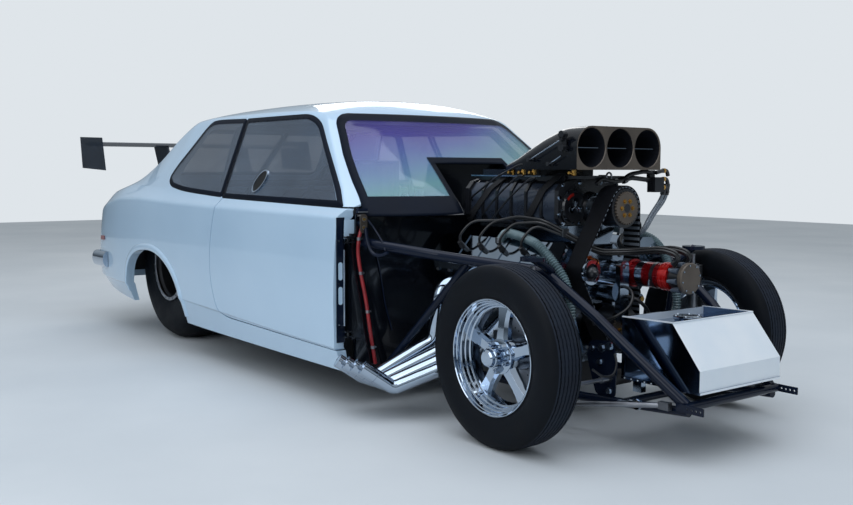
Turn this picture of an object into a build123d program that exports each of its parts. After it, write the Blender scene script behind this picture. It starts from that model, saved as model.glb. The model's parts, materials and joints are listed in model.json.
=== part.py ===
from build123d import *
import os
from math import cos, radians, sin

os.makedirs("parts", exist_ok=True)

# Row frame: +X to the nose, +Y to the car's left, +Z up, millimetres, the
# ground at z = 0 and X = 0 halfway along the car.

# Axles and wheels
REAR_AXLE_X = -1120
FRONT_AXLE_X = 1708
FRONT_TYRE_R = 326
FRONT_RIM_R = 207.8
FRONT_TYRE_IN, FRONT_TYRE_OUT = 510, 665
FRONT_RIM_IN, FRONT_RIM_OUT = 538, 653
REAR_TYRE_R = 419
REAR_RIM_R = 204
REAR_TYRE_IN, REAR_TYRE_OUT = 245, 660
STEER_Y = 455

# Engine
CRANK_Z = 370
BLOCK_BACK, BLOCK_FRONT = 1010, 1610
BORE_PITCH = 123
FIRST_PORT_X = 1150
BLOWER_Z, BLOWER_TOP = 762, 957
BLOWER_BACK, CASE_FRONT, BLOWER_FRONT = 990, 1552, 1640
HAT_FRONT, HAT_FOOT, HAT_HALF = 1705, 981, 236
THROAT_Z, THROAT_R, THROAT_PITCH = 1063, 72.5, 157
BELT_BACK, BELT_FRONT, BELT_T = 1655, 1735, 9
# The three pulleys in the belt: y, z, radius.
TOP_PULLEY = (0, 835, 78)
IDLER = (-187, 600, 40)
CRANK_PULLEY = (0, CRANK_Z, 88)

# Frame and steering
RACK_X, RACK_Z, RACK_HALF = 1900, 236, 150
RAIL_R = 20.5
FIREWALL_X = 930
FIREWALL_T = 8
FLOOR_Z = 172
FLOOR_T = 6

# Body
WALL = 45
GLASS_WALL = 18
GLASS_T = 6
DOOR_GAP = 6
DECK_CROWN = 5


def give(part, label):
    """Labels a finished piece and writes it."""
    part.label = label
    export_step(part, f"parts/{label}.step")


def tube(points, radius, bend=0, bore=0):
    """Round bar or tube along straight runs joined by bends."""
    with BuildLine() as path:
        if len(points) == 2 or bend == 0:
            Polyline(*points)
        else:
            FilletPolyline(*points, radius=bend)
    with BuildPart() as run:
        with BuildSketch(Plane(origin=path.line @ 0, z_dir=path.line % 0)):
            Circle(radius)
            if bore:
                Circle(bore, mode=Mode.SUBTRACT)
        sweep(path=path.line, transition=Transition.ROUND)
    return run.part


def flip(points):
    """The same points on the other side of the car."""
    return [(x, -y, z) for x, y, z in points]


def both(points, radius, bend=0, bore=0):
    """A tube and its twin across the centre line."""
    return [tube(points, radius, bend, bore), tube(flip(points), radius, bend, bore)]


# Lower body: one section a row, half widths from the centre line.
# Columns: x, bottom z, bottom y, crease z, crease y, middle z, middle y,
# shoulder z, shoulder y, belt z, belt y, deck centre z.
LOWER_BODY = [
    (-2108, 290, 652, 318, 694, 480, 706, 690, 684, 762, 600, 782),
    (-2010, 245, 682, 306, 728, 495, 738, 725, 712, 800, 640, 822),
    (-1830, 218, 708, 302, 758, 515, 764, 760, 741, 838, 680, 862),
    (-1550, 197, 730, 300, 781, 525, 786, 798, 764, 866, 706, 900),
    (-1200, 178, 742, 300, 790, 525, 796, 806, 777, 856, 731, 880),
    (-800, 163, 752, 296, 792, 522, 797, 797, 779, 842, 741, 846),
    (-300, 159, 760, 284, 792, 520, 797, 791, 779, 832, 743, 832),
    (400, 158, 760, 264, 792, 520, 797, 790, 778, 822, 742, 822),
    (906, 158, 757, 254, 790, 520, 797, 788, 776, 815, 738, 815),
]

# Cabin above the belt: one level a row, from the belt to the roof's crown.
# Columns: z, windscreen centre x, windscreen corner x and y, side middle y,
# quarter x and y, rear corner x and y, rear centre x.
CABIN = [
    (790, 1085, 928, 728, 750, -1050, 736, -2040, 640, -2060),
    (840, 1030, 870, 706, 729, -1000, 715, -1853, 640, -1885),
    (916, 931, 783, 673, 697, -950, 686, -1552, 622, -1592),
    (1033, 779, 649, 621, 647, -850, 636, -1311, 590, -1357),
    (1139, 640, 527, 574, 602, -760, 592, -1156, 548, -1207),
    (1228, 524, 425, 534, 563, -690, 552, -1011, 500, -1068),
    (1262, 462, 375, 474, 504, -660, 494, -930, 440, -992),
    (1295, 360, 285, 380, 405, -600, 396, -815, 345, -875),
    (1318, 200, 130, 240, 262, -470, 254, -620, 215, -680),
    (1326, 90, 50, 110, 120, -350, 116, -450, 100, -490),
]
SIDE_X = -200


def halved(rows):
    """The rows with one more in each gap, on the curve through all of them."""
    out = []
    for k, row in enumerate(rows[:-1]):
        after = rows[k + 1]
        out.append(row)
        if 0 < k < len(rows) - 2:
            outer = zip(row, after, rows[k - 1], rows[k + 2])
            out.append(tuple((9 * (b + c) - (a + d)) / 16 for b, c, a, d in outer))
        else:
            out.append(tuple((b + c) / 2 for b, c in zip(row, after)))
    return out + [rows[-1]]


def across(point):
    """The same point on the other side of the centre line."""
    return (-point[0], point[1])


def lower_solid(inset, drop):
    """Lower body drawn in by the inset, its bottom let down by the drop."""
    with BuildPart() as solid:
        for x, bz, by, cz, cy, mz, my, sz, sy, wz, wy, dz in halved(LOWER_BODY):
            end = inset if x == LOWER_BODY[0][0] else 0
            bottom = (by - inset, bz - drop)
            crease = (cy - inset, cz)
            middle = (my - inset, mz)
            shoulder = (sy - inset, sz - inset * 0.5)
            belt = (wy - inset, wz - inset * 0.6)
            deck = (0, max(dz, wz + DECK_CROWN) - inset * 0.6)
            with BuildSketch(Plane.YZ.offset(x + end)):
                with BuildLine():
                    Line(across(bottom), bottom)
                    Line(bottom, crease)
                    flank = ThreePointArc(crease, middle, shoulder)
                    TangentArc(shoulder, belt, tangent=flank % 1)
                    ThreePointArc(belt, deck, across(belt))
                    far_flank = ThreePointArc(across(crease), across(middle), across(shoulder))
                    TangentArc(across(shoulder), across(belt), tangent=far_flank % 1)
                    Line(across(crease), across(bottom))
                make_face()
        loft(ruled=True)
    return solid.part


def cabin_solid(inset, drop):
    """Cabin drawn in by the inset, its lowest level let down by the drop."""
    with BuildPart() as solid:
        for z, fx, ax, ay, my, qx, qy, rx, ry, cx in CABIN[:4] + halved(CABIN[4:]):
            lowest = z == CABIN[0][0]
            wall = WALL if drop and lowest else inset
            pillar, far_pillar = (ax - wall, ay - wall), (ax - wall, wall - ay)
            quarter, far_quarter = (qx, qy - wall), (qx, wall - qy)
            rear, far_rear = (rx + wall, ry - wall), (rx + wall, wall - ry)
            levels = [z - drop, z] if drop and lowest else [z - (0 if lowest else inset * 0.8)]
            for level in levels:
                with BuildSketch(Plane.XY.offset(level)):
                    with BuildLine():
                        ThreePointArc(far_pillar, (fx - wall * 1.2, 0), pillar)
                        ThreePointArc(pillar, (SIDE_X, my - wall), quarter)
                        Line(quarter, rear)
                        ThreePointArc(rear, (cx + wall * 1.2, 0), far_rear)
                        Line(far_rear, far_quarter)
                        ThreePointArc(far_quarter, (SIDE_X, wall - my), far_pillar)
                    make_face()
        loft(ruled=True)
    return solid.part


def side_cut(outline, near, far, side, grow=0):
    """Block with the side-view outline, between two distances from the centre line."""
    plane = Plane(origin=(0, side * near, 0), x_dir=(1, 0, 0), z_dir=(0, side, 0))
    with BuildPart() as block:
        with BuildSketch(plane):
            with BuildLine():
                Polyline(*[(x, -side * z) for x, z in outline], close=True)
            make_face()
            if grow:
                offset(amount=grow, kind=Kind.INTERSECTION)
        extrude(amount=far - near)
    return block.part


def front_cut(outline, back, front):
    """Block with the front-view outline, between two places along the car."""
    with BuildPart() as block:
        with BuildSketch(Plane.YZ.offset(back)):
            with BuildLine():
                Polyline(*outline, *[(-y, z) for y, z in reversed(outline)], close=True)
            make_face()
        extrude(amount=front - back)
    return block.part


HINGE_X, HINGE_Y, HINGE_Z = 942, 748, (313, 697)
HINGE_PIN_R = 5
DOOR = [
    (903, 245),
    (-125, 262),
    (-195, 300),
    (-245, 420),
    (-258, 560),
    (-245, 700),
    (-205, 826),
    (903, 812),
]
DOOR_OPENING = [
    (1000, 239),
    (-128, 256),
    (-200, 295),
    (-251, 418),
    (-264, 560),
    (-251, 702),
    (-212, 832),
    (880, 822),
    (1000, 822),
]
WHEEL_ARCH = [
    (-625, 0),
    (-625, 297),
    (-670, 350),
    (-713, 400),
    (-790, 455),
    (-873, 492),
    (-960, 515),
    (-1044, 524),
    (-1164, 518),
    (-1240, 504),
    (-1305, 480),
    (-1360, 445),
    (-1400, 395),
    (-1429, 300),
    (-1445, 0),
]
DOOR_GLASS = [
    (858, 838),
    (-205, 838),
    (-262, 1226),
    (335, 1222),
    (405, 1195),
]
QUARTER_GLASS = [
    (-232, 842),
    (-700, 858),
    (-880, 880),
    (-952, 930),
    (-925, 985),
    (-700, 1236),
    (-640, 1246),
    (-288, 1232),
]

lower_out = lower_solid(0, 0)
lower_in = lower_solid(WALL, 60)
cabin_out = cabin_solid(0, 0)
cabin_in = cabin_solid(GLASS_WALL, 60)
cabin_behind_glass = cabin_solid(GLASS_T, 60)

# Front-view outlines of the windscreen and the rear window, half widths.
SCREEN = [(650, 797), (655, 830), (500, 1200), (455, 1212)]
BACKLIGHT = [(548, 935), (430, 1196), (390, 1206)]
screen_cut = front_cut(SCREEN, 380, 1200)
backlight_cut = front_cut(BACKLIGHT, -1900, -1000)

# Recess through the screen for the back of the blower.
NOTCH_BACK, NOTCH_TOP = 762, 1004
with BuildPart() as notch_out:
    for z, half in ((790, 246), (NOTCH_TOP, 204)):
        with BuildSketch(Plane.XY.offset(z)):
            with BuildLine():
                Polyline(
                    (NOTCH_BACK - 5, -half),
                    (1200, -half),
                    (1200, half),
                    (NOTCH_BACK - 5, half),
                    close=True,
                )
            make_face()
    loft(ruled=True)
with BuildPart() as notch_in:
    for z, half in ((795, 240), (NOTCH_TOP + 10, 198)):
        with BuildSketch(Plane.XY.offset(z)):
            with BuildLine():
                Polyline(
                    (NOTCH_BACK, -half),
                    (1300, -half),
                    (1300, half),
                    (NOTCH_BACK, half),
                    close=True,
                )
            make_face()
    loft(ruled=True)

# Body shell: quarters, sills, deck, roof and pillars in one, windows cut
with BuildPart() as body_shell:
    add(lower_out)
    add(cabin_out)
    add(lower_in, mode=Mode.SUBTRACT)
    add(cabin_in, mode=Mode.SUBTRACT)
    with Locations((1040, 0, 793)):
        Box(2 * (1040 - 916), 1400, 10, mode=Mode.SUBTRACT)
    for side in (-1, 1):
        add(side_cut(DOOR_OPENING, 560, 900, side), mode=Mode.SUBTRACT)
        add(side_cut(DOOR_GLASS, 450, 900, side, DOOR_GAP), mode=Mode.SUBTRACT)
        add(side_cut(QUARTER_GLASS, 450, 900, side), mode=Mode.SUBTRACT)
        add(side_cut(WHEEL_ARCH, 560, 900, side), mode=Mode.SUBTRACT)
    add(screen_cut, mode=Mode.SUBTRACT)
    add(backlight_cut, mode=Mode.SUBTRACT)
    add(notch_out.part, mode=Mode.SUBTRACT)
give(body_shell.part, "body_shell")

with BuildPart() as skin:
    add(cabin_out)
    add(cabin_behind_glass, mode=Mode.SUBTRACT)

with BuildPart() as windscreen:
    add(skin.part)
    add(screen_cut, mode=Mode.INTERSECT)
    add(notch_out.part, mode=Mode.SUBTRACT)
give(windscreen.part, "windscreen")
with BuildPart() as rear_window:
    add(skin.part)
    add(backlight_cut, mode=Mode.INTERSECT)
give(rear_window.part, "rear_window")

for side, name in ((-1, "right"), (1, "left")):
    with BuildPart() as quarter:
        add(skin.part)
        add(side_cut(QUARTER_GLASS, 450, 900, side), mode=Mode.INTERSECT)
    give(quarter.part, f"quarter_window_{name}")
    with BuildPart() as door_window:
        add(skin.part)
        add(side_cut(DOOR_GLASS, 450, 900, side), mode=Mode.INTERSECT)
    give(door_window.part, f"door_window_{name}")
    with BuildPart() as door:
        add(lower_out)
        add(lower_in, mode=Mode.SUBTRACT)
        add(cabin_in, mode=Mode.SUBTRACT)
        add(side_cut(DOOR, 692, 900, side), mode=Mode.INTERSECT)
        for z in HINGE_Z:
            with Locations((906, side * 750, z)):
                Box(56, 12, 14)
            with Locations((HINGE_X, side * HINGE_Y, z)):
                Cylinder(10, 14)
                Cylinder(HINGE_PIN_R + 0.05, 14, mode=Mode.SUBTRACT)
    give(door.part, f"door_{name}")


def turned(profile, x, z, side):
    """Solid turned about the axle line at x and z; the profile is (distance out, radius)."""
    with BuildPart() as solid:
        with BuildSketch(Plane(origin=(x, 0, z), x_dir=(0, 1, 0), z_dir=(1, 0, 0))):
            with BuildLine():
                Polyline(*[(side * y, r) for y, r in profile], close=True)
            make_face()
        revolve(axis=Axis((x, 0, z), (0, 1, 0)))
    return solid.part


def tyre_profile(inner, outer, radius, rim, tread_in, tread_out, crown, grooves=()):
    """Half section of a tyre: beads, bulging walls, shoulders, and tread with its grooves."""
    mid = (radius + rim) / 2
    centre, reach = (tread_in + tread_out) / 2, (tread_out - tread_in) / 2 - 8
    tread = [] if grooves else [(centre, radius)]
    for y in grooves:
        top = radius - crown * abs(y - centre) / reach
        low = top - GROOVE_DEEP
        tread += [(y - 3, top), (y - 2, low), (y + 2, low), (y + 3, top)]
    return [
        (inner + 18, rim - 1),
        (inner + 4, mid - 30),
        (inner, mid),
        (inner + 6, mid + 45),
        (tread_in - 6, radius - 22),
        (tread_in + 8, radius - crown),
        *tread,
        (tread_out - 8, radius - crown),
        (tread_out + 6, radius - 22),
        (outer - 6, mid + 45),
        (outer, mid),
        (outer - 4, mid - 30),
        (outer - 18, rim - 1),
    ]


# Front wheels: stepped chrome rims with five spokes, brake disc on the hub
FRONT_RIM = [
    (540, 190), (540, 206), (548, 206), (552, 198), (575, 176), (600, 174),
    (632, 196), (645, 206.8), (653, 206.8), (653, 199), (646, 196), (630, 182),
    (612, 172), (600, 167), (572, 168), (548, 190),
]
SPOKE_EDGE = [(20, 30), (62, 18), (118, 22), (156, 28), (173, 42)]
SPOKE_BACK, SPOKE_DEEP = 586, 26
GROOVE_DEEP = 6
FRONT_GROOVES = [556, 572, 588, 604, 620]
SPINDLE_R = 17
DISC_IN, DISC_OUT, DISC_R = 488, 496, 138


def front_wheel(side):
    """Rim, five spokes, hub with its cap, and the disc behind."""
    plane = Plane(
        origin=(FRONT_AXLE_X, side * SPOKE_BACK, FRONT_TYRE_R), x_dir=(1, 0, 0), z_dir=(0, side, 0)
    )
    hub = [(488, 20), (488, 62), (588, 62), (622, 54), (622, 35), (630, 35), (630, 38), (640, 38),
           (640, 33), (668, 33), (668, 28), (674, 22), (674, 0), (580, 0), (580, 20)]
    disc = [(DISC_IN, 60), (DISC_IN, DISC_R), (DISC_OUT, DISC_R), (DISC_OUT, 60)]
    spoke = SPOKE_EDGE + [(out, -half) for out, half in reversed(SPOKE_EDGE)]
    with BuildPart() as wheel:
        add(turned(FRONT_RIM, FRONT_AXLE_X, FRONT_TYRE_R, side))
        with BuildSketch(plane):
            with PolarLocations(0, 5, start_angle=90):
                with BuildLine():
                    Polyline(*spoke, close=True)
                make_face()
        extrude(amount=SPOKE_DEEP, taper=6)
        add(turned(hub, FRONT_AXLE_X, FRONT_TYRE_R, side))
        add(turned(disc, FRONT_AXLE_X, FRONT_TYRE_R, side))
    return wheel.part


def front_knuckle(side):
    """Upright with spindle, caliper, steering arm and the strut above it."""
    x, z, y = FRONT_AXLE_X, FRONT_TYRE_R, STEER_Y
    spindle = [(y - 14, 0), (y - 14, 42), (y + 20, 42), (y + 28, SPINDLE_R + 10),
               (y + 28, SPINDLE_R), (575, SPINDLE_R), (575, 0)]
    upright = Plane(origin=(x, side * (y - 14), z), x_dir=(1, 0, 0), z_dir=(0, side, 0))
    arm = [(x - 24, y - 14), (x - 24, y + 10), (x + 60, y + 4),
           (RACK_X + 12, y - 12), (RACK_X + 12, y - 34), (x + 60, y - 14)]
    with BuildPart() as knuckle:
        add(turned(spindle, x, z, side))
        with BuildSketch(upright):
            with BuildLine():
                Polyline((-30, -60), (30, -60), (26, 130), (-26, 130), close=True)
            make_face()
        extrude(amount=24)
        with Locations((x, side * y, 490)):
            Cylinder(24, 210)
        with Locations((x, side * y, 535)):
            Cylinder(38, 110)
        with Locations((x, side * y, 610)):
            Cylinder(10, 50)
        with Locations((x, side * y, 210)):
            Cylinder(12, 116)
        with BuildSketch(Plane.XY.offset(RACK_Z + 18)):
            with BuildLine():
                Polyline(*[(along, side * out) for along, out in arm], close=True)
            make_face()
        extrude(amount=12)
        with Locations((x - 118, side * 492, z + 20)):
            Box(50, 44, 92)
        with Locations((x - 70, side * 462, z + 20)):
            Box(70, 20, 40)
        with Locations((x - 106, side * 492, z + 20)):
            Box(120, DISC_OUT - DISC_IN + 10, 96, mode=Mode.SUBTRACT)
    return knuckle.part


for side, name in ((-1, "right"), (1, "left")):
    give(front_wheel(side), f"front_wheel_{name}")
    tyre = tyre_profile(
        FRONT_TYRE_IN, FRONT_TYRE_OUT, FRONT_TYRE_R, FRONT_RIM_R, 535, 640, 3, FRONT_GROOVES
    )
    give(turned(tyre, FRONT_AXLE_X, FRONT_TYRE_R, side), f"front_tyre_{name}")
    give(front_knuckle(side), f"knuckle_{name}")

# Rear wheels: deep dark rims with a ring of bolts, wide slicks
REAR_RIM = [
    (262, 182), (262, 200), (272, 200), (280, 184), (620, 184), (632, 200), (646, 200),
    (646, 192), (634, 190), (622, 176), (470, 176), (470, 60), (500, 60), (500, 0),
    (440, 0), (440, 90), (452, 176), (274, 176),
]
CLAMP_RING = [(646, 180), (646, 202), (653, 202), (655, 198), (655, 184), (653, 180)]
for side, name in ((-1, "right"), (1, "left")):
    with BuildPart() as rear_wheel:
        add(turned(REAR_RIM, REAR_AXLE_X, REAR_TYRE_R, side))
        add(turned(CLAMP_RING, REAR_AXLE_X, REAR_TYRE_R, side))
    give(rear_wheel.part, f"rear_wheel_{name}")
    slick = tyre_profile(REAR_TYRE_IN, REAR_TYRE_OUT, REAR_TYRE_R, REAR_RIM_R, 285, 590, 2)
    give(turned(slick, REAR_AXLE_X, REAR_TYRE_R, side), f"rear_tyre_{name}")

# Front frame: upper and lower rails, diagonals, crossmember and its brackets
UPPER_RAIL = [
    (900, -690, 688),
    (1252, -520, 643),
    (1673, -360, 607),
    (1902, -325, 460),
    (2229, -240, 199),
]
LOWER_RAIL = [(910, -300, 145), (1600, -285, 145), (1900, -250, 155), (2240, -238, 178)]
DIAGONAL = [(905, -568, 116), (1345, -453, 618)]
LOWER_RAIL_R, POST_R = 16, 14
TOWER_Z, TOWER_T = 662, 14


def nose_bracket(side):
    """Flat tab beyond the crossmember with its row of four holes."""
    with BuildPart() as bracket:
        with Locations((2265, side * 268, 196)):
            Box(110, 6, 26)
        with Locations(*[(2240 + 17 * i, side * 268, 196) for i in range(1, 5)]):
            Cylinder(4, 10, rotation=(90, 0, 0), mode=Mode.SUBTRACT)
    return bracket.part


def strut_tower(side):
    """Round plate that the strut is bolted up to."""
    with BuildPart() as tower:
        with Locations((FRONT_AXLE_X, side * STEER_Y, TOWER_Z)):
            Cylinder(46, TOWER_T)
            Cylinder(12, TOWER_T, mode=Mode.SUBTRACT)
    return tower.part


def trimmed(pieces):
    """Each piece cut back to what the ones before it and the firewall leave free."""
    kept = []
    for piece in pieces:
        with BuildPart() as cut:
            add(piece)
            with Locations((FIREWALL_X + FIREWALL_T - 150, 0, 400)):
                Box(300, 1600, 800, mode=Mode.SUBTRACT)
            for other in kept:
                add(other, mode=Mode.SUBTRACT)
        kept.extend(cut.part.solids().sort_by(SortBy.VOLUME)[-1:])
    return kept


front_tubes = both(UPPER_RAIL, RAIL_R, 60) + both(LOWER_RAIL, LOWER_RAIL_R, 60)
front_tubes += [strut_tower(-1), strut_tower(1)]
front_tubes.append(tube([(2236, -262, 196), (2236, 262, 196)], LOWER_RAIL_R))
front_tubes.append(tube([(1960, -247, 160), (1960, 247, 160)], POST_R))
front_tubes += [nose_bracket(-1), nose_bracket(1)]
front_tubes += both(DIAGONAL, LOWER_RAIL_R)
front_tubes += both([(1690, -280, 145), (1700, -352, 600)], POST_R)
front_tubes += both([(1700, -352, 612), (1708, -455, TOWER_Z)], POST_R)
front_frame = Compound(children=trimmed(front_tubes))
give(front_frame, "front_frame")

# Lower arms with their long forward rods
with BuildPart() as front_arms:
    for side in (-1, 1):
        add(tube([(FRONT_AXLE_X, side * 304, 140), (FRONT_AXLE_X, side * 436, 140)], 12))
        with Locations((FRONT_AXLE_X, side * 305, 145)):
            Box(50, 8, 30)
        with Locations((FRONT_AXLE_X, side * STEER_Y, 141)):
            Cylinder(24, 18)
        add(tube([(1716, side * 425, 138), (2150, side * 274, 190)], 10))
        with Locations((2168, side * 275, 192)):
            Box(44, 20, 26)
give(front_arms.part, "front_arms")

# Steering rack with its bellows, the bar and the tie rods sliding in it
RACK_BORE_R = 12.1
BELLOWS_RIBS, BELLOWS_PITCH = 8, 11
bellows = [(RACK_HALF, 24)]
for k in range(BELLOWS_RIBS):
    bellows += [(RACK_HALF + BELLOWS_PITCH * (k + 0.5), 28), (RACK_HALF + BELLOWS_PITCH * (k + 1), 22)]
bellows += [(RACK_HALF + BELLOWS_PITCH * BELLOWS_RIBS, RACK_BORE_R), (RACK_HALF, RACK_BORE_R)]
with BuildPart() as steering_rack:
    add(tube([(RACK_X, -RACK_HALF, RACK_Z), (RACK_X, RACK_HALF, RACK_Z)], 24, 0, RACK_BORE_R))
    for side in (-1, 1):
        with Locations((RACK_X, side * 90, RACK_Z - 45)):
            Box(40, 26, 50)
        add(turned(bellows, RACK_X, RACK_Z, side))
    with Locations((RACK_X, 0, RACK_Z)):
        Cylinder(RACK_BORE_R, 2 * RACK_HALF + 2, rotation=(90, 0, 0), mode=Mode.SUBTRACT)
give(steering_rack.part, "steering_rack")
with BuildPart() as rack_bar:
    add(tube([(RACK_X, -300, RACK_Z), (RACK_X, 300, RACK_Z)], 12))
    for side in (-1, 1):
        add(tube([(RACK_X, side * 290, RACK_Z), (RACK_X, side * 425, RACK_Z)], 8))
        with Locations((RACK_X, side * 432, RACK_Z)):
            Cylinder(14, 22)
give(rack_bar.part, "rack_bar")


def profile_along(outline, back, front, mirrored=True):
    """Front-view outline, mirrored across the centre line, run along the car."""
    other = [(-y, z) for y, z in reversed(outline)] if mirrored else []
    with BuildPart() as solid:
        with BuildSketch(Plane.YZ.offset(back)):
            with BuildLine():
                Polyline(*outline, *other, close=True)
            make_face()
        extrude(amount=front - back)
    return solid.part


DECK_Y, DECK_Z = 177, 547


def bank(out, up):
    """A point of one cylinder bank: y and z from distances across and up its 45 degree face."""
    half = cos(radians(45))
    return (DECK_Y + (out + up) * half, DECK_Z + (up - out) * half)


def bank_block(back, front, corners, side):
    """Block on one cylinder bank from corners given as (across, up)."""
    outline = [bank(out, up) for out, up in corners]
    with BuildPart() as solid:
        with BuildSketch(Plane.YZ.offset(back)):
            with BuildLine():
                Polyline(*[(side * y, z) for y, z in outline], close=True)
            make_face()
        extrude(amount=front - back)
    return solid.part


# Engine block: wide V with deck faces at 45 degrees
BLOCK = [(110, 232), (120, 300), (185, 372), (252, 472), (117, 607), (40, 520)]
with BuildPart() as engine_block:
    add(profile_along(BLOCK, BLOCK_BACK, BLOCK_FRONT))
give(engine_block.part, "engine_block")
with BuildPart() as oil_pan:
    add(profile_along([(100, 120), (118, 232)], 1060, 1560))
give(oil_pan.part, "oil_pan")

# Cylinder heads and billet rocker covers
with BuildPart() as cylinder_heads:
    for side in (-1, 1):
        add(bank_block(1030, 1590, [(-85, 0), (106, 0), (106, 110), (-85, 110)], side))
give(cylinder_heads.part, "cylinder_heads")
COVER_BACK, COVER_FRONT = 985, 1632
COVER = [(-80, 110), (100, 110), (100, 128), (70, 180), (-40, 188), (-80, 150)]
COVER_FOOT = [(-85, 110), (106, 110), (106, 120), (-85, 120)]
COVER_RIB = [(90, 140), (66, 184), (-40, 192), (-60, 174), (-40, 180), (66, 172)]
with BuildPart() as rocker_covers:
    for side in (-1, 1):
        add(bank_block(COVER_BACK, COVER_FRONT, COVER, side))
        add(bank_block(COVER_BACK + 4, COVER_FRONT - 4, COVER_FOOT, side))
        for k in range(4):
            middle = FIRST_PORT_X + BORE_PITCH * k
            add(bank_block(middle - 5, middle + 5, COVER_RIB, side))
give(rocker_covers.part, "rocker_covers")




def lathe_x(profile, y, z):
    """Solid turned about a line along the car; the profile is (x, radius)."""
    with BuildPart() as solid:
        with BuildSketch(Plane(origin=(0, y, z), x_dir=(1, 0, 0), z_dir=(0, -1, 0))):
            with BuildLine():
                Polyline((profile[0][0], 0), *profile, (profile[-1][0], 0), close=True)
            make_face()
        revolve(axis=Axis((0, y, z), (1, 0, 0)))
    return solid.part


# Intake manifold and the blower on it: ribbed case, end plates, round covers and drive snout
INTAKE = [(0, 530), (104, 625), (112, 700), (132, 740), (132, BLOWER_Z)]
with BuildPart() as intake_manifold:
    add(profile_along(INTAKE, 1040, CASE_FRONT + 10))
give(intake_manifold.part, "intake_manifold")
CASE = [(150, BLOWER_Z), (150, 778), (168, 800), (168, 890), (140, 925), (120, 935), (120, BLOWER_TOP)]
CASE_RIB = [(156, BLOWER_Z + 2), (173, 798), (173, 893), (146, 930), (121, 942)]
END_PLATE = [(158, BLOWER_Z + 4), (176, 790), (176, 900), (150, 930), (110, 940)]
ROTOR_COVER_Y = 100
with BuildPart() as blower:
    add(profile_along(CASE, BLOWER_BACK + 25, CASE_FRONT - 22))
    add(profile_along(END_PLATE, BLOWER_BACK, BLOWER_BACK + 25))
    add(profile_along(END_PLATE, CASE_FRONT - 22, CASE_FRONT))
    for x in (1098, 1186, 1274, 1362, 1450):
        add(profile_along(CASE_RIB, x - 7, x + 7))
    for side in (-1, 1):
        cover = [(CASE_FRONT - 2, 70), (CASE_FRONT + 6, 70), (CASE_FRONT + 6, 62), (CASE_FRONT + 16, 58)]
        add(lathe_x(cover, side * ROTOR_COVER_Y, TOP_PULLEY[1]))
    add(lathe_x([(CASE_FRONT - 2, 62), (CASE_FRONT + 30, 54), (CASE_FRONT + 34, 42), (1645, 42)], *TOP_PULLEY[:2]))
    with Locations(((CASE_FRONT - 4 + BLOWER_FRONT) / 2, 0, BLOWER_TOP - 6)):
        Box(BLOWER_FRONT - CASE_FRONT + 4, 240, 12)
give(blower.part, "blower")

# Injector hat: three throats in a raked scoop body
HAT_BACK = 1290
# Sections across the scoop. Columns: x, half width, top z, corner radius.
HAT_SECTIONS = [
    (HAT_BACK, 214, 1000, 12),
    (1350, 222, 1024, 24),
    (1440, 230, 1072, 44),
    (1530, 235, 1116, 62),
    (1610, 236, 1142, 76),
    (HAT_FRONT, 236, 1145, 79),
]
with BuildPart() as injector_hat:
    for x, half, top, corner in HAT_SECTIONS:
        with BuildSketch(Plane.YZ.offset(x)):
            with BuildLine():
                Polyline((half, top - corner), (half, HAT_FOOT), (-half, HAT_FOOT), (-half, top - corner))
                RadiusArc((-half, top - corner), (corner - half, top), corner)
                Line((corner - half, top), (half - corner, top))
                RadiusArc((half - corner, top), (half, top - corner), corner)
            make_face()
    loft(ruled=True)
    with Locations(((HAT_BACK + 1640) / 2, 0, (HAT_FOOT + BLOWER_TOP) / 2)):
        Box(1640 - HAT_BACK, 2 * 214, HAT_FOOT - BLOWER_TOP)
    for y in (-THROAT_PITCH, 0, THROAT_PITCH):
        with Locations(Plane(origin=(HAT_FRONT - 175, y, THROAT_Z), x_dir=(0, 1, 0), z_dir=(1, 0, 0))):
            Cylinder(THROAT_R, 400, align=(Align.CENTER, Align.CENTER, Align.MIN), mode=Mode.SUBTRACT)
    for y in (-THROAT_PITCH, 0, THROAT_PITCH):
        with Locations(Plane(origin=(HAT_FRONT - 60, y, THROAT_Z), x_dir=(0, 1, 0), z_dir=(1, 0, 0))):
            Box(2 * THROAT_R, 5, 4)
    with Locations((HAT_FRONT - 60, 0, THROAT_Z)):
        Cylinder(6, 2 * HAT_HALF + 30, rotation=(90, 0, 0))
give(injector_hat.part, "injector_hat")

def disc_x(y, z, radius, back, front, bore=0):
    """Disc facing along the car."""
    with BuildPart() as disc:
        with BuildSketch(Plane.YZ.offset(back)):
            with Locations((y, z)):
                Circle(radius)
                if bore:
                    Circle(bore, mode=Mode.SUBTRACT)
        extrude(amount=front - back)
    return disc.part


# Blower drive: toothed pulleys, the idler with its nose, and the belt round them
PULLEY_FACE = BELT_FRONT + 2
SPROCKET_R, SPROCKET_TEETH = 60, 30
with BuildPart() as blower_drive:
    for y, z, r in (TOP_PULLEY, CRANK_PULLEY):
        add(disc_x(y, z, r, BELT_BACK - 2, PULLEY_FACE))
        add(disc_x(y, z, r * 0.45, BELT_BACK - 10, BELT_BACK - 2))
        with BuildSketch(Plane.YZ.offset(PULLEY_FACE)):
            with Locations((y, z)):
                Circle(SPROCKET_R)
                with PolarLocations(SPROCKET_R, SPROCKET_TEETH):
                    Rectangle(8, 6)
                Circle(16, mode=Mode.SUBTRACT)
        extrude(amount=8)
        with BuildSketch(Plane.YZ.offset(PULLEY_FACE + 8)):
            with Locations((y, z)):
                with PolarLocations(30, 6):
                    RegularPolygon(7, 6)
        extrude(amount=6)
    nose = [(BELT_BACK - 24, 18), (BELT_BACK - 2, 18), (BELT_BACK - 2, 40), (PULLEY_FACE, 40),
            (PULLEY_FACE, 47), (PULLEY_FACE + 8, 47), (PULLEY_FACE + 8, 33), (PULLEY_FACE, 31),
            (PULLEY_FACE, 24), (PULLEY_FACE + 20, 21), (PULLEY_FACE + 38, 8)]
    add(lathe_x(nose, *IDLER[:2]))
give(blower_drive.part, "blower_drive")
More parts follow.
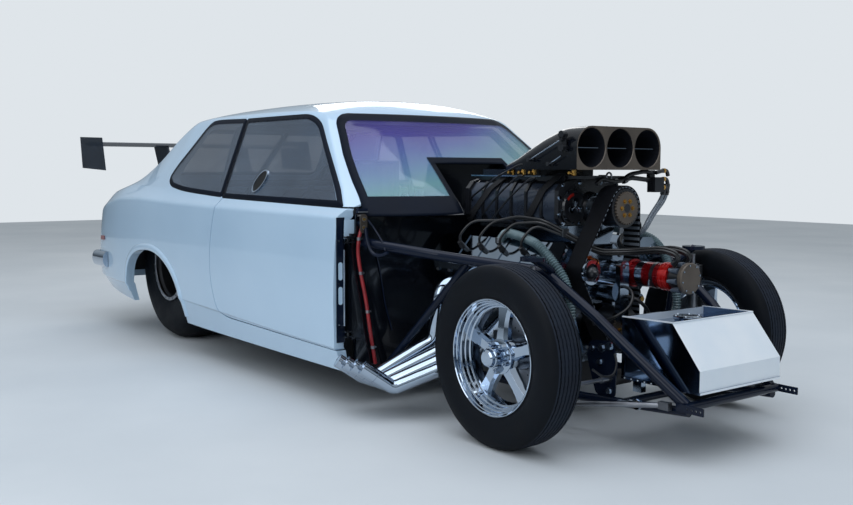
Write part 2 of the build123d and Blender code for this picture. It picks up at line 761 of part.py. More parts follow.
with BuildPart() as blower_belt:
    with BuildSketch(Plane.YZ.offset(BELT_BACK)):
        for y, z, r in (TOP_PULLEY, IDLER, CRANK_PULLEY):
            with Locations((y, z)):
                Circle(r + BELT_T)
        make_hull()
    extrude(amount=BELT_FRONT - BELT_BACK)
    with BuildSketch(Plane.YZ.offset(BELT_BACK)):
        for y, z, r in (TOP_PULLEY, IDLER, CRANK_PULLEY):
            with Locations((y, z)):
                Circle(r + 0.3)
        make_hull()
    extrude(amount=BELT_FRONT - BELT_BACK, mode=Mode.SUBTRACT)
give(blower_belt.part, "blower_belt")

# Front drive case behind the pulleys, its column before them, and the magneto standing forward
MAG_Y, MAG_Z = 45, 586
COLUMN_Y, COLUMN_Z, COLUMN_X = -42, (400, 640), (1752, 1776)
CASE_PLATE = [(95, 270), (150, 420), (150, 560), (110, 650), (60, 690)]
DRIVE_BACK = BLOCK_FRONT + 14
with BuildPart() as front_drive:
    add(profile_along(CASE_PLATE, BLOCK_FRONT, DRIVE_BACK))
    add(lathe_x([(DRIVE_BACK, 44), (1652, 38), (1652, 30), (1740, 30)], MAG_Y, MAG_Z))
    add(lathe_x([(DRIVE_BACK, 62), (1640, 58), (1640, 46), (1752, 44)], -40, 520))
    add(lathe_x([(DRIVE_BACK, 30), (1650, 26)], -112, 640))
    add(lathe_x([(DRIVE_BACK, 40), (1650, 34)], 150, 470))
    with BuildSketch(Plane.YZ.offset(COLUMN_X[0])):
        with Locations((COLUMN_Y, sum(COLUMN_Z) / 2)):
            SlotOverall(COLUMN_Z[1] - COLUMN_Z[0], 48, rotation=90)
            with GridLocations(0, COLUMN_Z[1] - COLUMN_Z[0] - 48, 1, 2):
                Circle(9, mode=Mode.SUBTRACT)
    extrude(amount=COLUMN_X[1] - COLUMN_X[0])
give(front_drive.part, "front_drive")
MAGNETO = [(1740, 50), (1744, 54), (1752, 54), (1752, 48), (1900, 48), (1900, 53), (1940, 53),
           (1940, 44), (1962, 44), (1962, 60), (1994, 60), (2000, 55)]
with BuildPart() as magneto:
    add(lathe_x(MAGNETO, MAG_Y, MAG_Z))
    with Locations(Plane(origin=(2000, MAG_Y, MAG_Z), x_dir=(0, 1, 0), z_dir=(1, 0, 0))):
        with PolarLocations(42, 8):
            Cylinder(10, 26, align=(Align.CENTER, Align.CENTER, Align.MIN))
give(magneto.part, "magneto")

# Headers: four pipes a side, turned out under the sill
PIPE_R, PIPE_WALL = 28, 2
# Each pipe from its port to where it meets the sill, on the right, and its bend radius.
PIPES = [
    ([(1150, -296, 508), (1166, -448, 530), (1126, -450, 288)], 60),
    ([(1273, -296, 508), (1262, -425, 520), (1210, -435, 272)], 60),
    ([(1396, -296, 508), (1380, -430, 515), (1280, -450, 258)], 60),
    ([(1519, -296, 508), (1500, -338, 455), (1350, -345, 330), (1335, -450, 242)], 36),
]
TIP_X, TIP_PITCH = 944, 60
for side, name in ((-1, "right"), (1, "left")):
    with BuildPart() as headers:
        for k, (fall, bend) in enumerate(PIPES):
            tip = TIP_X + TIP_PITCH * k
            path = fall + [(tip + 56, -690, 128), (tip, -800, 214)]
            add(tube(path if side < 0 else flip(path), PIPE_R, bend))
        for k in range(len(PIPES)):
            port = FIRST_PORT_X + BORE_PITCH * k
            face = Plane(origin=(port, side * 291, 511), x_dir=(1, 0, 0), z_dir=(0, side, -1))
            with Locations(face):
                Box(86, 60, 10, align=(Align.CENTER, Align.CENTER, Align.MIN))
            tip = TIP_X + TIP_PITCH * k
            mouth = tube([(tip, side * 800, 214), (tip + 34, side * 733, 162)], PIPE_R - PIPE_WALL)
            add(mouth, mode=Mode.SUBTRACT)
        add(cylinder_heads.part, mode=Mode.SUBTRACT)
    give(headers.part, f"headers_{name}")

# Nose tank: sloped front, recessed top with a filler opening
TANK_HALF, TANK_BACK = 228, 1933
TANK_SIDE = [(TANK_BACK, 250), (TANK_BACK, 462), (2152, 467), (2271, 319), (2271, 248)]
with BuildPart() as fuel_tank:
    with BuildSketch(Plane.XZ):
        with BuildLine():
            Polyline(*TANK_SIDE, close=True)
        make_face()
    extrude(amount=TANK_HALF, both=True)
    with Locations((TANK_BACK + 106, 0, 470)):
        Box(196, 2 * TANK_HALF - 12, 70, mode=Mode.SUBTRACT)
    with Locations((TANK_BACK + 106, 0, 435)):
        Cylinder(46, 24)
    with Locations((TANK_BACK + 106, 0, 440)):
        Cylinder(38, 40, mode=Mode.SUBTRACT)
    with Locations(((TANK_BACK + 2275) / 2, 0, 244)):
        Box(2275 - TANK_BACK, 2 * TANK_HALF + 2, 8)
give(fuel_tank.part, "fuel_tank")

# Gearbox behind the engine, propeller shaft to the rear axle
with BuildPart() as gearbox:
    add(disc_x(0, CRANK_Z, 190, 970, BLOCK_BACK))
    with BuildSketch(Plane.YZ.offset(970)):
        with Locations((0, CRANK_Z)):
            Circle(185)
    with BuildSketch(Plane.YZ.offset(780)):
        with Locations((0, CRANK_Z - 10)):
            Circle(110)
    loft()
    add(disc_x(0, CRANK_Z - 10, 105, 420, 780))
    add(disc_x(0, CRANK_Z - 10, 60, 300, 420))
    add(tube([(300, 0, CRANK_Z - 10), (-920, 0, 400)], 38))
give(gearbox.part, "gearbox")

# Rear axle, its links and spring units
with BuildPart() as rear_axle:
    add(tube([(REAR_AXLE_X, -236, REAR_TYRE_R), (REAR_AXLE_X, 236, REAR_TYRE_R)], 42))
    add(turned([(-110, 0), (-110, 90), (-60, 150), (60, 150), (110, 90), (110, 0)],
               REAR_AXLE_X, REAR_TYRE_R, 1))
    with BuildSketch(Plane.YZ.offset(-1000)):
        with Locations((0, 405)):
            Circle(80)
    with BuildSketch(Plane.YZ.offset(-922)):
        with Locations((0, 401)):
            Circle(48)
    loft()
    for side in (-1, 1):
        add(tube([(REAR_AXLE_X, side * 160, 520), (-590, side * 160, 400)], 13))
        add(tube([(REAR_AXLE_X, side * 160, 300), (-590, side * 160, 250)], 13))
        with Locations((REAR_AXLE_X, side * 160, 410)):
            Box(60, 12, 260)
        with Locations((REAR_AXLE_X - 75, side * 140, 470)):
            Cylinder(30, 300)
        with Locations((REAR_AXLE_X - 50, side * 148, 350)):
            Box(90, 20, 40)
give(rear_axle.part, "rear_axle")

# Rear frame rails, kicked up over the axle
REAR_RAIL = [(-440, -198, 150), (-640, -198, 150), (-860, -198, 610), (-1380, -198, 610),
             (-1560, -198, 360), (-2040, -198, 330)]
with BuildPart() as rear_frame:
    for piece in both(REAR_RAIL, 20, 60):
        add(piece)
    add(tube([(-1195, -198, 642), (-1195, 198, 642)], 14))
    add(tube([(-590, -184, 448), (-590, 184, 448)], 14))
    for side in (-1, 1):
        with Locations((-590, side * 179, 300)):
            Box(44, 10, 310)
    add(tube([(-2030, -560, 330), (-2030, 560, 330)], 16))
give(rear_frame.part, "rear_frame")

# Roll cage
HOOP_X = -480
HOOP = [(HOOP_X, -610, FLOOR_Z + FLOOR_T), (HOOP_X, -640, 760), (HOOP_X, -515, 1186), (HOOP_X, 0, 1200)]
A_BAR = [(850, -640, FLOOR_Z + FLOOR_T), (826, -645, 770), (392, -485, 1172), (HOOP_X, -495, 1186)]
with BuildPart() as roll_cage:
    for piece in both(HOOP, RAIL_R, 60):
        add(piece)
    for piece in both(A_BAR, RAIL_R, 80):
        add(piece)
    add(tube([(392, -485, 1172), (392, 485, 1172)], 18))
    add(tube([(827, -645, 700), (827, 645, 700)], 18))
    add(tube([(HOOP_X, -628, 560), (HOOP_X, 628, 560)], 18))
    add(tube([(HOOP_X, -600, 900), (HOOP_X, 600, 900)], 18))
    for piece in both([(HOOP_X, -628, 520), (842, -642, 330)], 18):
        add(piece)
    for piece in both([(HOOP_X, -212, 1190), (-1300, -198, 625)], 16):
        add(piece)
    add(rear_frame.part, mode=Mode.SUBTRACT)
give(roll_cage.part, "roll_cage")

# Firewall: flat black panel with the opening for the bellhousing
WALL_HALF = 706
with BuildPart() as firewall:
    with BuildSketch(Plane.YZ.offset(FIREWALL_X)):
        with BuildLine():
            Polyline((-WALL_HALF, 165), (WALL_HALF, 165), (WALL_HALF, 796), (-WALL_HALF, 796), close=True)
        make_face()
        with Locations((0, CRANK_Z)):
            Circle(188, mode=Mode.SUBTRACT)
        with Locations((0, 250)):
            Rectangle(330, 172, mode=Mode.SUBTRACT)
    extrude(amount=FIREWALL_T)
    for side in (-1, 1):
        with Locations((FIREWALL_X - 26, side * (WALL_HALF + 11), 505)):
            Box(68, 22, 430)
        for z in HINGE_Z:
            for ear in (-10.5, 10.5):
                with Locations((HINGE_X - 6, side * (HINGE_Y - 9), z + ear)):
                    Box(26, 44, 5)
            with Locations((HINGE_X, side * HINGE_Y, z)):
                Cylinder(HINGE_PIN_R, 30)
give(firewall.part, "firewall")

# Cowl plate under the screen and the boxed recess for the blower
with BuildPart() as cowl_panel:
    add(cabin_out)
    with Locations((1040, 0, 793)):
        Box(2 * (1040 - FIREWALL_X), 1400, 7, mode=Mode.INTERSECT)
    add(notch_in.part, mode=Mode.SUBTRACT)
    with BuildSketch(Plane.XY.offset(785)):
        with Locations((1040, 0)):
            Rectangle(2 * (1040 - NOTCH_BACK - 190), 480)
    extrude(amount=20, mode=Mode.SUBTRACT)
    add(notch_out.part)
    add(notch_in.part, mode=Mode.SUBTRACT)
    add(cabin_out, mode=Mode.INTERSECT)
    with Locations((1100, 0, 792)):
        Box(2 * (1100 - FIREWALL_X - FIREWALL_T), 480, 12, mode=Mode.SUBTRACT)
    for other in (firewall.part, body_shell.part, windscreen.part):
        add(other, mode=Mode.SUBTRACT)
give(cowl_panel.part, "cowl_panel")

# Floor with its tunnel, and the drums over the rear wheels
FLOOR_HALF, FLOOR_BACK = 706, -520
TUNNEL = {FLOOR_BACK: (86, 452), 330: (122, 500), FIREWALL_X: (188, 560)}


def tunnel_points(half, top, below):
    """Front-view outline of the tunnel over the gearbox and shaft."""
    right = [(-half, FLOOR_Z - below), (-half, top - 80), (-half * 0.62, top)]
    return right + [(-y, z) for y, z in reversed(right)]


with BuildPart() as floor_pan:
    with Locations(((FIREWALL_X + FLOOR_BACK) / 2, 0, FLOOR_Z + FLOOR_T / 2)):
        Box(FIREWALL_X - FLOOR_BACK, 2 * FLOOR_HALF, FLOOR_T)
    for wall, mode in ((0, Mode.ADD), (5, Mode.SUBTRACT)):
        for back, front in ((FLOOR_BACK, 330), (330, FIREWALL_X)):
            for x in (back, front):
                half, top = TUNNEL[x]
                with BuildSketch(Plane.YZ.offset(x)):
                    with BuildLine():
                        Polyline(*tunnel_points(half - wall, top - wall, wall * 4), close=True)
                    make_face()
            loft(ruled=True, mode=mode)
    add(roll_cage.part, mode=Mode.SUBTRACT)
    add(firewall.part, mode=Mode.SUBTRACT)
give(floor_pan.part, "floor_pan")

TUB_R = 452
with BuildPart() as wheel_tubs:
    for side in (-1, 1):
        add(turned([(224, 0), (224, TUB_R), (745, TUB_R), (745, TUB_R - 4), (228, TUB_R - 4), (228, 0)],
                   REAR_AXLE_X, REAR_TYRE_R, side))
    with Locations((REAR_AXLE_X, 0, 160)):
        Box(1200, 1800, 400, mode=Mode.SUBTRACT)
    add(lower_in, mode=Mode.INTERSECT)
    for side in (-1, 1):
        with Locations((REAR_AXLE_X, side * 226, REAR_TYRE_R)):
            Box(200, 30, 300, mode=Mode.SUBTRACT)
give(wheel_tubs.part, "wheel_tubs")

# Bucket seat on the car's left, steering wheel and dash
SEAT_Y = 330
SEAT_SIDE = [
    (-120, 205),
    (-120, 300),
    (-340, 262),
    (-420, 700),
    (-425, 1030),
    (-450, 1040),
    (-446, 700),
    (-420, 205),
]
SEAT_WING = [(-130, 200), (-150, 380), (-330, 380), (-300, 760), (-420, 860), (-448, 700), (-430, 200)]
with BuildPart() as seat:
    with BuildSketch(Plane.XZ.offset(-SEAT_Y)):
        with BuildLine():
            Polyline(*SEAT_SIDE, close=True)
        make_face()
    extrude(amount=170, both=True)
    for side in (-1, 1):
        with BuildSketch(Plane.XZ.offset(-SEAT_Y - side * 180)):
            with BuildLine():
                Polyline(*SEAT_WING, close=True)
            make_face()
        extrude(amount=12, both=True)
    for side in (-1, 1):
        with Locations((-270, SEAT_Y + side * 130, 192)):
            Box(260, 24, 28)
give(seat.part, "seat")
with BuildPart() as dash_panel:
    with BuildSketch(Plane.XZ):
        with BuildLine():
            Polyline((560, 700), (600, 770), (760, 776), (760, 768), (606, 762), (568, 696), close=True)
        make_face()
    extrude(amount=620, both=True)
give(dash_panel.part, "dash_panel")
with BuildPart() as steering_wheel:
    wheel_plane = Plane(origin=(250, SEAT_Y, 700), z_dir=(-cos(radians(20)), 0, sin(radians(20))))
    rim_centre = wheel_plane.origin + wheel_plane.x_dir * 160
    with BuildSketch(Plane(origin=rim_centre, x_dir=wheel_plane.x_dir, z_dir=wheel_plane.y_dir)):
        Circle(13)
    revolve(axis=Axis(wheel_plane.origin, wheel_plane.z_dir))
    with BuildSketch(wheel_plane):
        Circle(36)
        with PolarLocations(0, 3, start_angle=90):
            with Locations((84, 0)):
                Rectangle(140, 26)
    extrude(amount=3, both=True)
    add(tube([(250, SEAT_Y, 700), (900, SEAT_Y, 463)], 14))
give(steering_wheel.part, "steering_wheel")

# Rear wing on two struts, clear end plates
WING_HALF = 742
WING_SECTION = [
    (-2240, 1140),
    (-2150, 1146),
    (-1990, 1138),
    (-1960, 1126),
    (-1990, 1116),
    (-2150, 1118),
    (-2240, 1130),
]
STRUT = [(-2200, 1120), (-1970, 1120), (-1880, 930), (-1860, 835), (-2030, 800), (-2080, 900)]
with BuildPart() as rear_wing:
    with BuildSketch(Plane.XZ.offset(-WING_HALF)):
        with BuildLine():
            Polyline(*WING_SECTION, close=True)
        make_face()
    extrude(amount=2 * WING_HALF)
    for side in (-1, 1):
        with BuildSketch(Plane.XZ.offset(-side * 285)):
            with BuildLine():
                Polyline(*STRUT, close=True)
            make_face()
        extrude(amount=5, both=True)
    add(lower_out, mode=Mode.SUBTRACT)
    add(cabin_out, mode=Mode.SUBTRACT)
with BuildPart() as wing_ends:
    for side in (-1, 1):
        with BuildSketch(Plane.XZ.offset(-side * (WING_HALF + 3))):
            with BuildLine():
                Polyline((-2320, 1181), (-1912, 1168), (-1855, 963), (-2285, 977), close=True)
            make_face()
        extrude(amount=3, both=True)
give(rear_wing.part, "rear_wing")
give(wing_ends.part, "wing_end_plates")

# Rear bumper wrapped round the tail, lamps above it
BUMPER_SIDE = [(-1790, -772, 410), (-2085, -742, 402), (-2140, -660, 400)]
with BuildPart() as rear_bumper:
    with BuildLine() as bumper_path:
        FilletPolyline(*BUMPER_SIDE, *reversed(flip(BUMPER_SIDE)), radius=40)
    with BuildSketch(Plane(origin=bumper_path.line @ 0, z_dir=bumper_path.line % 0)):
        Ellipse(26, 48, rotation=0)
    sweep(path=bumper_path.line, transition=Transition.ROUND)
    add(lower_out, mode=Mode.SUBTRACT)
give(rear_bumper.part, "rear_bumper")
with BuildPart() as lamps:
    for y in (-520, -330, 330, 520):
        with Locations((-2108, y, 590)):
            Box(24, 150, 110)
    for side in (-1, 1):
        with Locations((-1900, side * 745, 540)):
            Box(60, 30, 26)
    add(lower_out, mode=Mode.SUBTRACT)
give(lamps.part, "lamps")

# Hoses that lie along the engine and the firewall: breathers, plug leads and the fuel hose
BREATHER = [
    (1345, -288, 700),
    (1385, -296, 738),
    (1500, -308, 722),
    (1600, -326, 702),
    (1672, -318, 642),
    (1714, -300, 585),
    (1747, -300, 508),
    (1755, -302, 420),
    (1692, -308, 330),
]
LEADS_RIGHT = [
    (2012, 22, 630),
    (1998, 10, 672),
    (1930, -10, 690),
    (1800, -34, 674),
    (1694, -96, 668),
    (1628, -192, 730),
    (1560, -262, 782),
    (1412, -262, 790),
    (1290, -258, 776),
    (1180, -262, 705),
]
LEADS_LEFT = [
    (2012, 68, 630),
    (1998, 74, 672),
    (1930, 60, 690),
    (1800, 40, 676),
    (1700, 30, 668),
    (1636, 76, 700),
    (1588, 205, 762),
    (1480, 262, 786),
    (1290, 258, 776),
    (1180, 262, 705),
]
FUEL_HOSE = [
    (948, -674, 776),
    (955, -713, 675),
    (955, -698, 573),
    (955, -669, 448),
    (955, -650, 323),
    (950, -620, 180),
]
with BuildPart() as hoses:
    for piece in both(BREATHER, 17, 44):
        add(piece)
    add(tube(LEADS_RIGHT, 12, 30))
    add(tube(LEADS_LEFT, 12, 26))
    add(tube(FUEL_HOSE, 8, 60))
    around = [firewall.part, blower_belt.part, rocker_covers.part, front_drive.part, front_frame]
    for other in around + [blower.part, magneto.part]:
        add(other, mode=Mode.SUBTRACT)
give(hoses.part, "hoses")
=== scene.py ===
import json
import math

import bmesh
import bpy
import numpy as np
from mathutils import Matrix, Vector


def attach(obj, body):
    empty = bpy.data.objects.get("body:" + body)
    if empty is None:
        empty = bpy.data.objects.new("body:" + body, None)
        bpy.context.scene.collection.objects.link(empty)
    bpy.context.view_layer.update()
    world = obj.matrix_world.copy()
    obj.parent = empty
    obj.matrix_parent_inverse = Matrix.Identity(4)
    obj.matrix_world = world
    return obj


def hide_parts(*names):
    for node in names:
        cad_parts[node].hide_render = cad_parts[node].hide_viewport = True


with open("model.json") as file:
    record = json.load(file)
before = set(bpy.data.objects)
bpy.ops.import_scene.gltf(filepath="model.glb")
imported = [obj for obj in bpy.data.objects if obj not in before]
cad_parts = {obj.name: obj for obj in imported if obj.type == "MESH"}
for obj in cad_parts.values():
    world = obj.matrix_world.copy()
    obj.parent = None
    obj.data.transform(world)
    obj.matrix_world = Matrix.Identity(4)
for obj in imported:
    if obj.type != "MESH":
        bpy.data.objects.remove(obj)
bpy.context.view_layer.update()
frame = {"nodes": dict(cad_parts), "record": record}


# Camera
# The photo's own camera, solved from the wheels, tank and body: it stands to
# the right of the nose, 0.98 m up, and looks back along the car.
EYE, YAW, PITCH, ROLL = (4.2624, -2.8779, 0.9847), 2.491, -0.0857, 0.004
FOCAL_PIXELS, PHOTO_PIXELS, SENSOR_MM = 981.773, 853, 36


def camera_axes(yaw, pitch, roll):
    """Forward f from yaw and pitch, side r level and square to it, up u; roll turns r and u about f."""
    f = Vector((math.cos(yaw) * math.cos(pitch), math.sin(yaw) * math.cos(pitch), math.sin(pitch)))
    r = Vector((math.sin(yaw), -math.cos(yaw), 0))
    u = r.cross(f)
    c, s = math.cos(roll), math.sin(roll)
    return f, c * r + s * u, c * u - s * r


forward, right, up = camera_axes(YAW, PITCH, ROLL)
lens = bpy.data.cameras.new("photo_camera")
lens.sensor_width = SENSOR_MM
lens.lens = SENSOR_MM * FOCAL_PIXELS / PHOTO_PIXELS
camera = bpy.data.objects.new("photo_camera", lens)
camera.matrix_world = Matrix.Translation(EYE) @ Matrix(
    (
        (right[0], up[0], -forward[0], 0),
        (right[1], up[1], -forward[1], 0),
        (right[2], up[2], -forward[2], 0),
        (0, 0, 0, 1),
    )
)
bpy.context.scene.collection.objects.link(camera)
bpy.context.scene.camera = camera
bpy.context.scene.view_settings.view_transform = "Standard"


# Floor, world and lights
# Pale plain floor, a soft sky over it that chrome and paint can mirror, and
# two wide lamps, one overhead and one at the car's right.
def srgb(code, alpha=1.0):
    """Linear colour from an sRGB hex code."""
    parts = [int(code[i : i + 2], 16) / 255 for i in (0, 2, 4)]
    return tuple(c / 12.92 if c <= 0.04045 else ((c + 0.055) / 1.055) ** 2.4 for c in parts) + (alpha,)


def add_node(tree, kind, values=None, links=None, stops=(), **settings):
    """One shader node with its settings, values and links; a ramp's stops are (place, hex colour)."""
    node = tree.nodes.new(kind)
    for key, value in settings.items():
        setattr(node, key, value)
    for key, value in (values or {}).items():
        node.inputs[key].default_value = value
    for key, socket in (links or {}).items():
        tree.links.new(socket, node.inputs[key])
    if stops:
        elements = node.color_ramp.elements
        while len(elements) < len(stops):
            elements.new(0.5)
        for element, (place, code) in zip(elements, stops):
            element.position = place
            element.color = srgb(code)
    return node


world = bpy.data.worlds.new("studio")
bpy.context.scene.world = world
world.use_nodes = True
tree = world.node_tree
tree.nodes.clear()
place = add_node(tree, "ShaderNodeTexCoord")
split = add_node(tree, "ShaderNodeSeparateXYZ", links={"Vector": place.outputs["Generated"]})
height = add_node(
    tree, "ShaderNodeMapRange", {"From Min": -1.0, "From Max": 1.0}, {"Value": split.outputs["Z"]}
)
SKY = [
    (0.0, "6f7880"), (0.46, "7c858c"), (0.5, "5d666e"), (0.56, "aebac4"), (0.75, "e6eef5"), (1.0, "f6faff")
]
sky = add_node(tree, "ShaderNodeValToRGB", links={"Fac": height.outputs[0]}, stops=SKY)
ray = add_node(tree, "ShaderNodeLightPath")
glow = add_node(tree, "ShaderNodeBackground", {"Strength": 0.62}, {"Color": sky.outputs["Color"]})
backdrop = add_node(tree, "ShaderNodeBackground", {"Color": srgb("dfe5ea"), "Strength": 1.0})
either = {0: ray.outputs["Is Camera Ray"], 1: glow.outputs[0], 2: backdrop.outputs[0]}
seen = add_node(tree, "ShaderNodeMixShader", links=either)
add_node(tree, "ShaderNodeOutputWorld", links={"Surface": seen.outputs[0]})


def add_mesh(name, points, faces, materials=(), smooth=None):
    """Object from point and face lists; smooth is the angle in degrees over which an edge stays sharp."""
    mesh = bpy.data.meshes.new(name)
    mesh.from_pydata([tuple(map(float, p)) for p in points], [], [tuple(map(int, f)) for f in faces])
    mesh.validate()
    thing = bpy.data.objects.new(name, mesh)
    bpy.context.scene.collection.objects.link(thing)
    for finish in materials:
        mesh.materials.append(finish)
    if smooth is not None:
        mesh.polygons.foreach_set("use_smooth", [True] * len(mesh.polygons))
        mesh.set_sharp_from_angle(angle=math.radians(smooth))
    return thing


floor_finish = bpy.data.materials.new("pale_concrete_floor")
floor_finish.use_nodes = True
tree = floor_finish.node_tree
surface = tree.nodes["Principled BSDF"]
place = add_node(tree, "ShaderNodeTexCoord")
cloud = add_node(
    tree, "ShaderNodeTexNoise", {"Scale": 0.9, "Detail": 6.0}, {"Vector": place.outputs["Object"]}
)
CONCRETE, FLOOR_HALF = [(0.3, "c3c9cd"), (0.7, "ced3d6")], 14
tone = add_node(tree, "ShaderNodeValToRGB", links={"Fac": cloud.outputs["Fac"]}, stops=CONCRETE)
tree.links.new(tone.outputs["Color"], surface.inputs["Base Color"])
surface.inputs["Roughness"].default_value = 0.75
corners = [(x * FLOOR_HALF, y * FLOOR_HALF, 0) for x, y in ((-1, -1), (1, -1), (1, 1), (-1, 1))]
floor = add_mesh("floor", corners, [(0, 1, 2, 3)], [floor_finish])
for name, spot, aim, size, watts, code in (  # place and aim in metres, size in metres, power in watts
    ("sky_lamp", (1.5, -1.0, 6.0), (0, 0, 0), 7.0, 235, "edf4ff"),
    ("side_lamp", (3.0, -6.0, 3.4), (0, 0, 0.5), 4.0, 95, "f6faff"),
    ("back_lamp", (-5.0, 4.0, 4.0), (-0.5, 0, 0.6), 3.0, 60, "ffffff"),
):
    lamp = bpy.data.lights.new(name, "AREA")
    lamp.size, lamp.energy, lamp.color = size, watts, srgb(code)[:3]
    holder = bpy.data.objects.new(name, lamp)
    holder.location = spot
    holder.rotation_mode = "QUATERNION"
    holder.rotation_quaternion = (Vector(aim) - Vector(spot)).to_track_quat("-Z", "Y")
    bpy.context.scene.collection.objects.link(holder)


# Finishes of the pieces that stay as the CAD made them
# Each is named for the real one and given by its slot; its colour drifts
# between two close shades, and a fine grain moves its roughness and relief.
def finish_of(
    name, light, dark, rough, metal=0.0, coat=0.0, scale=6.0, relief=0.0, grain=400.0, alpha=1.0, shine=0.5
):
    """Principled finish; scale and grain count the patches of colour and of relief in a metre.

    The grain is drawn at 1000 / grain mm, coarser than the real one, so that it shows in the render.
    """
    made = bpy.data.materials.new(name)
    made.use_nodes = True
    tree = made.node_tree
    surface = tree.nodes["Principled BSDF"]
    place = add_node(tree, "ShaderNodeTexCoord")
    drift = add_node(
        tree, "ShaderNodeTexNoise", {"Scale": scale, "Detail": 4.0}, {"Vector": place.outputs["Object"]}
    )
    shades = [(0.3, dark), (0.7, light)]
    tone = add_node(tree, "ShaderNodeValToRGB", links={"Fac": drift.outputs["Fac"]}, stops=shades)
    tree.links.new(tone.outputs["Color"], surface.inputs["Base Color"])
    fine = add_node(
        tree, "ShaderNodeTexNoise", {"Scale": grain, "Detail": 2.0}, {"Vector": place.outputs["Object"]}
    )
    spread = add_node(
        tree,
        "ShaderNodeMapRange",
        {"To Min": rough * 0.75, "To Max": rough * 1.25},
        {"Value": drift.outputs["Fac"]},
    )
    tree.links.new(spread.outputs[0], surface.inputs["Roughness"])
    if relief:
        bump = add_node(
            tree, "ShaderNodeBump", {"Strength": relief, "Distance": 0.001}, {"Height": fine.outputs["Fac"]}
        )
        tree.links.new(bump.outputs[0], surface.inputs["Normal"])
    for socket, value in (
        ("Metallic", metal),
        ("Coat Weight", coat),
        ("Coat Roughness", 0.04),
        ("Alpha", alpha),
        ("Specular IOR Level", shine),
    ):
        surface.inputs[socket].default_value = value
    return made


# Two-pack gloss paint: white, with the cool blue-grey of open shade painted into its colour, and a hard
# mirror over it.
white_paint = finish_of("gloss_white_paint_painted_sky_shade", "b9d4ea", "afcce4", 0.32, coat=1.0, scale=1.5, relief=0.02)
# Gloss black on the scoop and the cowl: almost no body colour, a thin sharp highlight.
black_paint = finish_of(
    "gloss_black_paint", "0b0f16", "080b11", 0.16, coat=0.3, scale=3.0, relief=0.01, shine=0.3
)
# Semi-gloss black paint on steel tube: its blue cast is a painted sky reflection; one long soft highlight.
tube_black = finish_of(
    "semi_gloss_black_tube_paint_sky_tint", "111b2e", "0e1626", 0.14, coat=0.22, scale=2.5, relief=0.02, shine=0.12
)
# Coated clear sheet: one sees the cage through it, under a painted sheen in its colour that runs
# from pale blue at the foot over blue-green to purple at the top, and turns across the car.
screen_sheet = finish_of("clear_sheet_painted_sheen", "30304a", "2a2c44", 0.06, alpha=0.34, coat=1.0, scale=2.0)
tree = screen_sheet.node_tree
place = add_node(tree, "ShaderNodeTexCoord")
bent = add_node(
    tree, "ShaderNodeTexNoise", {"Scale": 2.2, "Detail": 1.0}, {"Vector": place.outputs["Object"]}
)
split = add_node(tree, "ShaderNodeSeparateXYZ", links={"Vector": place.outputs["Object"]})
span = {"From Min": 0.85, "From Max": 1.24, "To Min": -0.05, "To Max": 0.72}
level = add_node(tree, "ShaderNodeMapRange", span, {"Value": split.outputs["Z"]})
across = {0: split.outputs["Y"], 2: level.outputs[0]}
leaned = add_node(tree, "ShaderNodeMath", {1: -0.35}, across, operation="MULTIPLY_ADD")
drifted = {0: bent.outputs["Fac"], 2: leaned.outputs[0]}
mixed = add_node(tree, "ShaderNodeMath", {1: 0.3}, drifted, operation="MULTIPLY_ADD")
# Painted sheen: these colours go into the base colour by height, across the car and by a slow noise.
PAINTED_SHEEN = [
    (0.12, "93b6d6"), (0.34, "7fc0c8"), (0.48, "6fa2cf"), (0.62, "5f74c8"), (0.74, "5046b4"), (0.9, "3a2f92")
]
sheen = add_node(tree, "ShaderNodeValToRGB", links={"Fac": mixed.outputs[0]}, stops=PAINTED_SHEEN)
tree.links.new(sheen.outputs["Color"], tree.nodes["Principled BSDF"].inputs["Base Color"])
# Matt black print on the sheets' borders.
sheet_black = finish_of("black_sheet_border", "0c1524", "09101c", 0.5, scale=3.0, relief=0.01, shine=0.08)
# Smoked clear sheet: grey-blue, half seen through, with the sky on it.
smoke_sheet = finish_of("smoked_clear_sheet", "4d5f74", "3c4b5d", 0.06, alpha=0.56, coat=0.7, scale=2.0)
# Moulded rubber wall: nearly black and dull.
tyre_rubber = finish_of(
    "tyre_rubber", "0c1118", "080c12", 0.6, scale=14.0, relief=0.35, grain=700.0, shine=0.14
)
# Scrubbed tread: greyer than the wall.
tread_rubber = finish_of(
    "tread_rubber", "1f2733", "171d28", 0.7, scale=20.0, relief=0.3, grain=700.0, shine=0.2
)
# Chrome plate, as sharp as a mirror: its colour darkened and slightly blue, a painted reflection of dim,
# bluish surroundings.
chrome = finish_of("chrome_plate_dimmed_sky_reflection", "b9c5d3", "a8b6c6", 0.05, metal=1.0, scale=5.0, relief=0.01)
# Dark satin finish inside the rear wheels: painted shade, so that their depth sinks away.
rear_rim_painted_shade = finish_of("rear_rim_satin_painted_shade", "2c2d31", "222327", 0.35, metal=0.6, scale=9.0, relief=0.05)
# Polished billet alloy, its reflections a little soft: its colour darkened to blue-grey, a painted reflection
# of dim, bluish surroundings.
billet = finish_of("polished_billet_alloy_dimmed_reflection", "a3b0bf", "8492a2", 0.13, metal=1.0, scale=12.0, relief=0.04)
# Sand-cast metal: dark, rough and grainy.
cast_dark = finish_of("dark_cast_metal", "3a3b3e", "2b2c2f", 0.5, metal=0.5, scale=20.0, relief=0.4)
# Black coated casting: satin with a fine grain.
blower_black = finish_of("black_coated_casting", "1d1f24", "13151a", 0.3, coat=0.4, scale=10.0, relief=0.15)
# Belt rubber: black, without highlights.
belt_rubber = finish_of("black_belt_rubber", "0c0e13", "08090d", 0.55, scale=30.0, relief=0.3, shine=0.12)
# Red anodised alloy: deep clear red over metal.
red_anodised = finish_of(
    "red_anodised_alloy", "a3121c", "7c0b14", 0.22, metal=0.7, coat=0.3, scale=10.0, relief=0.05
)
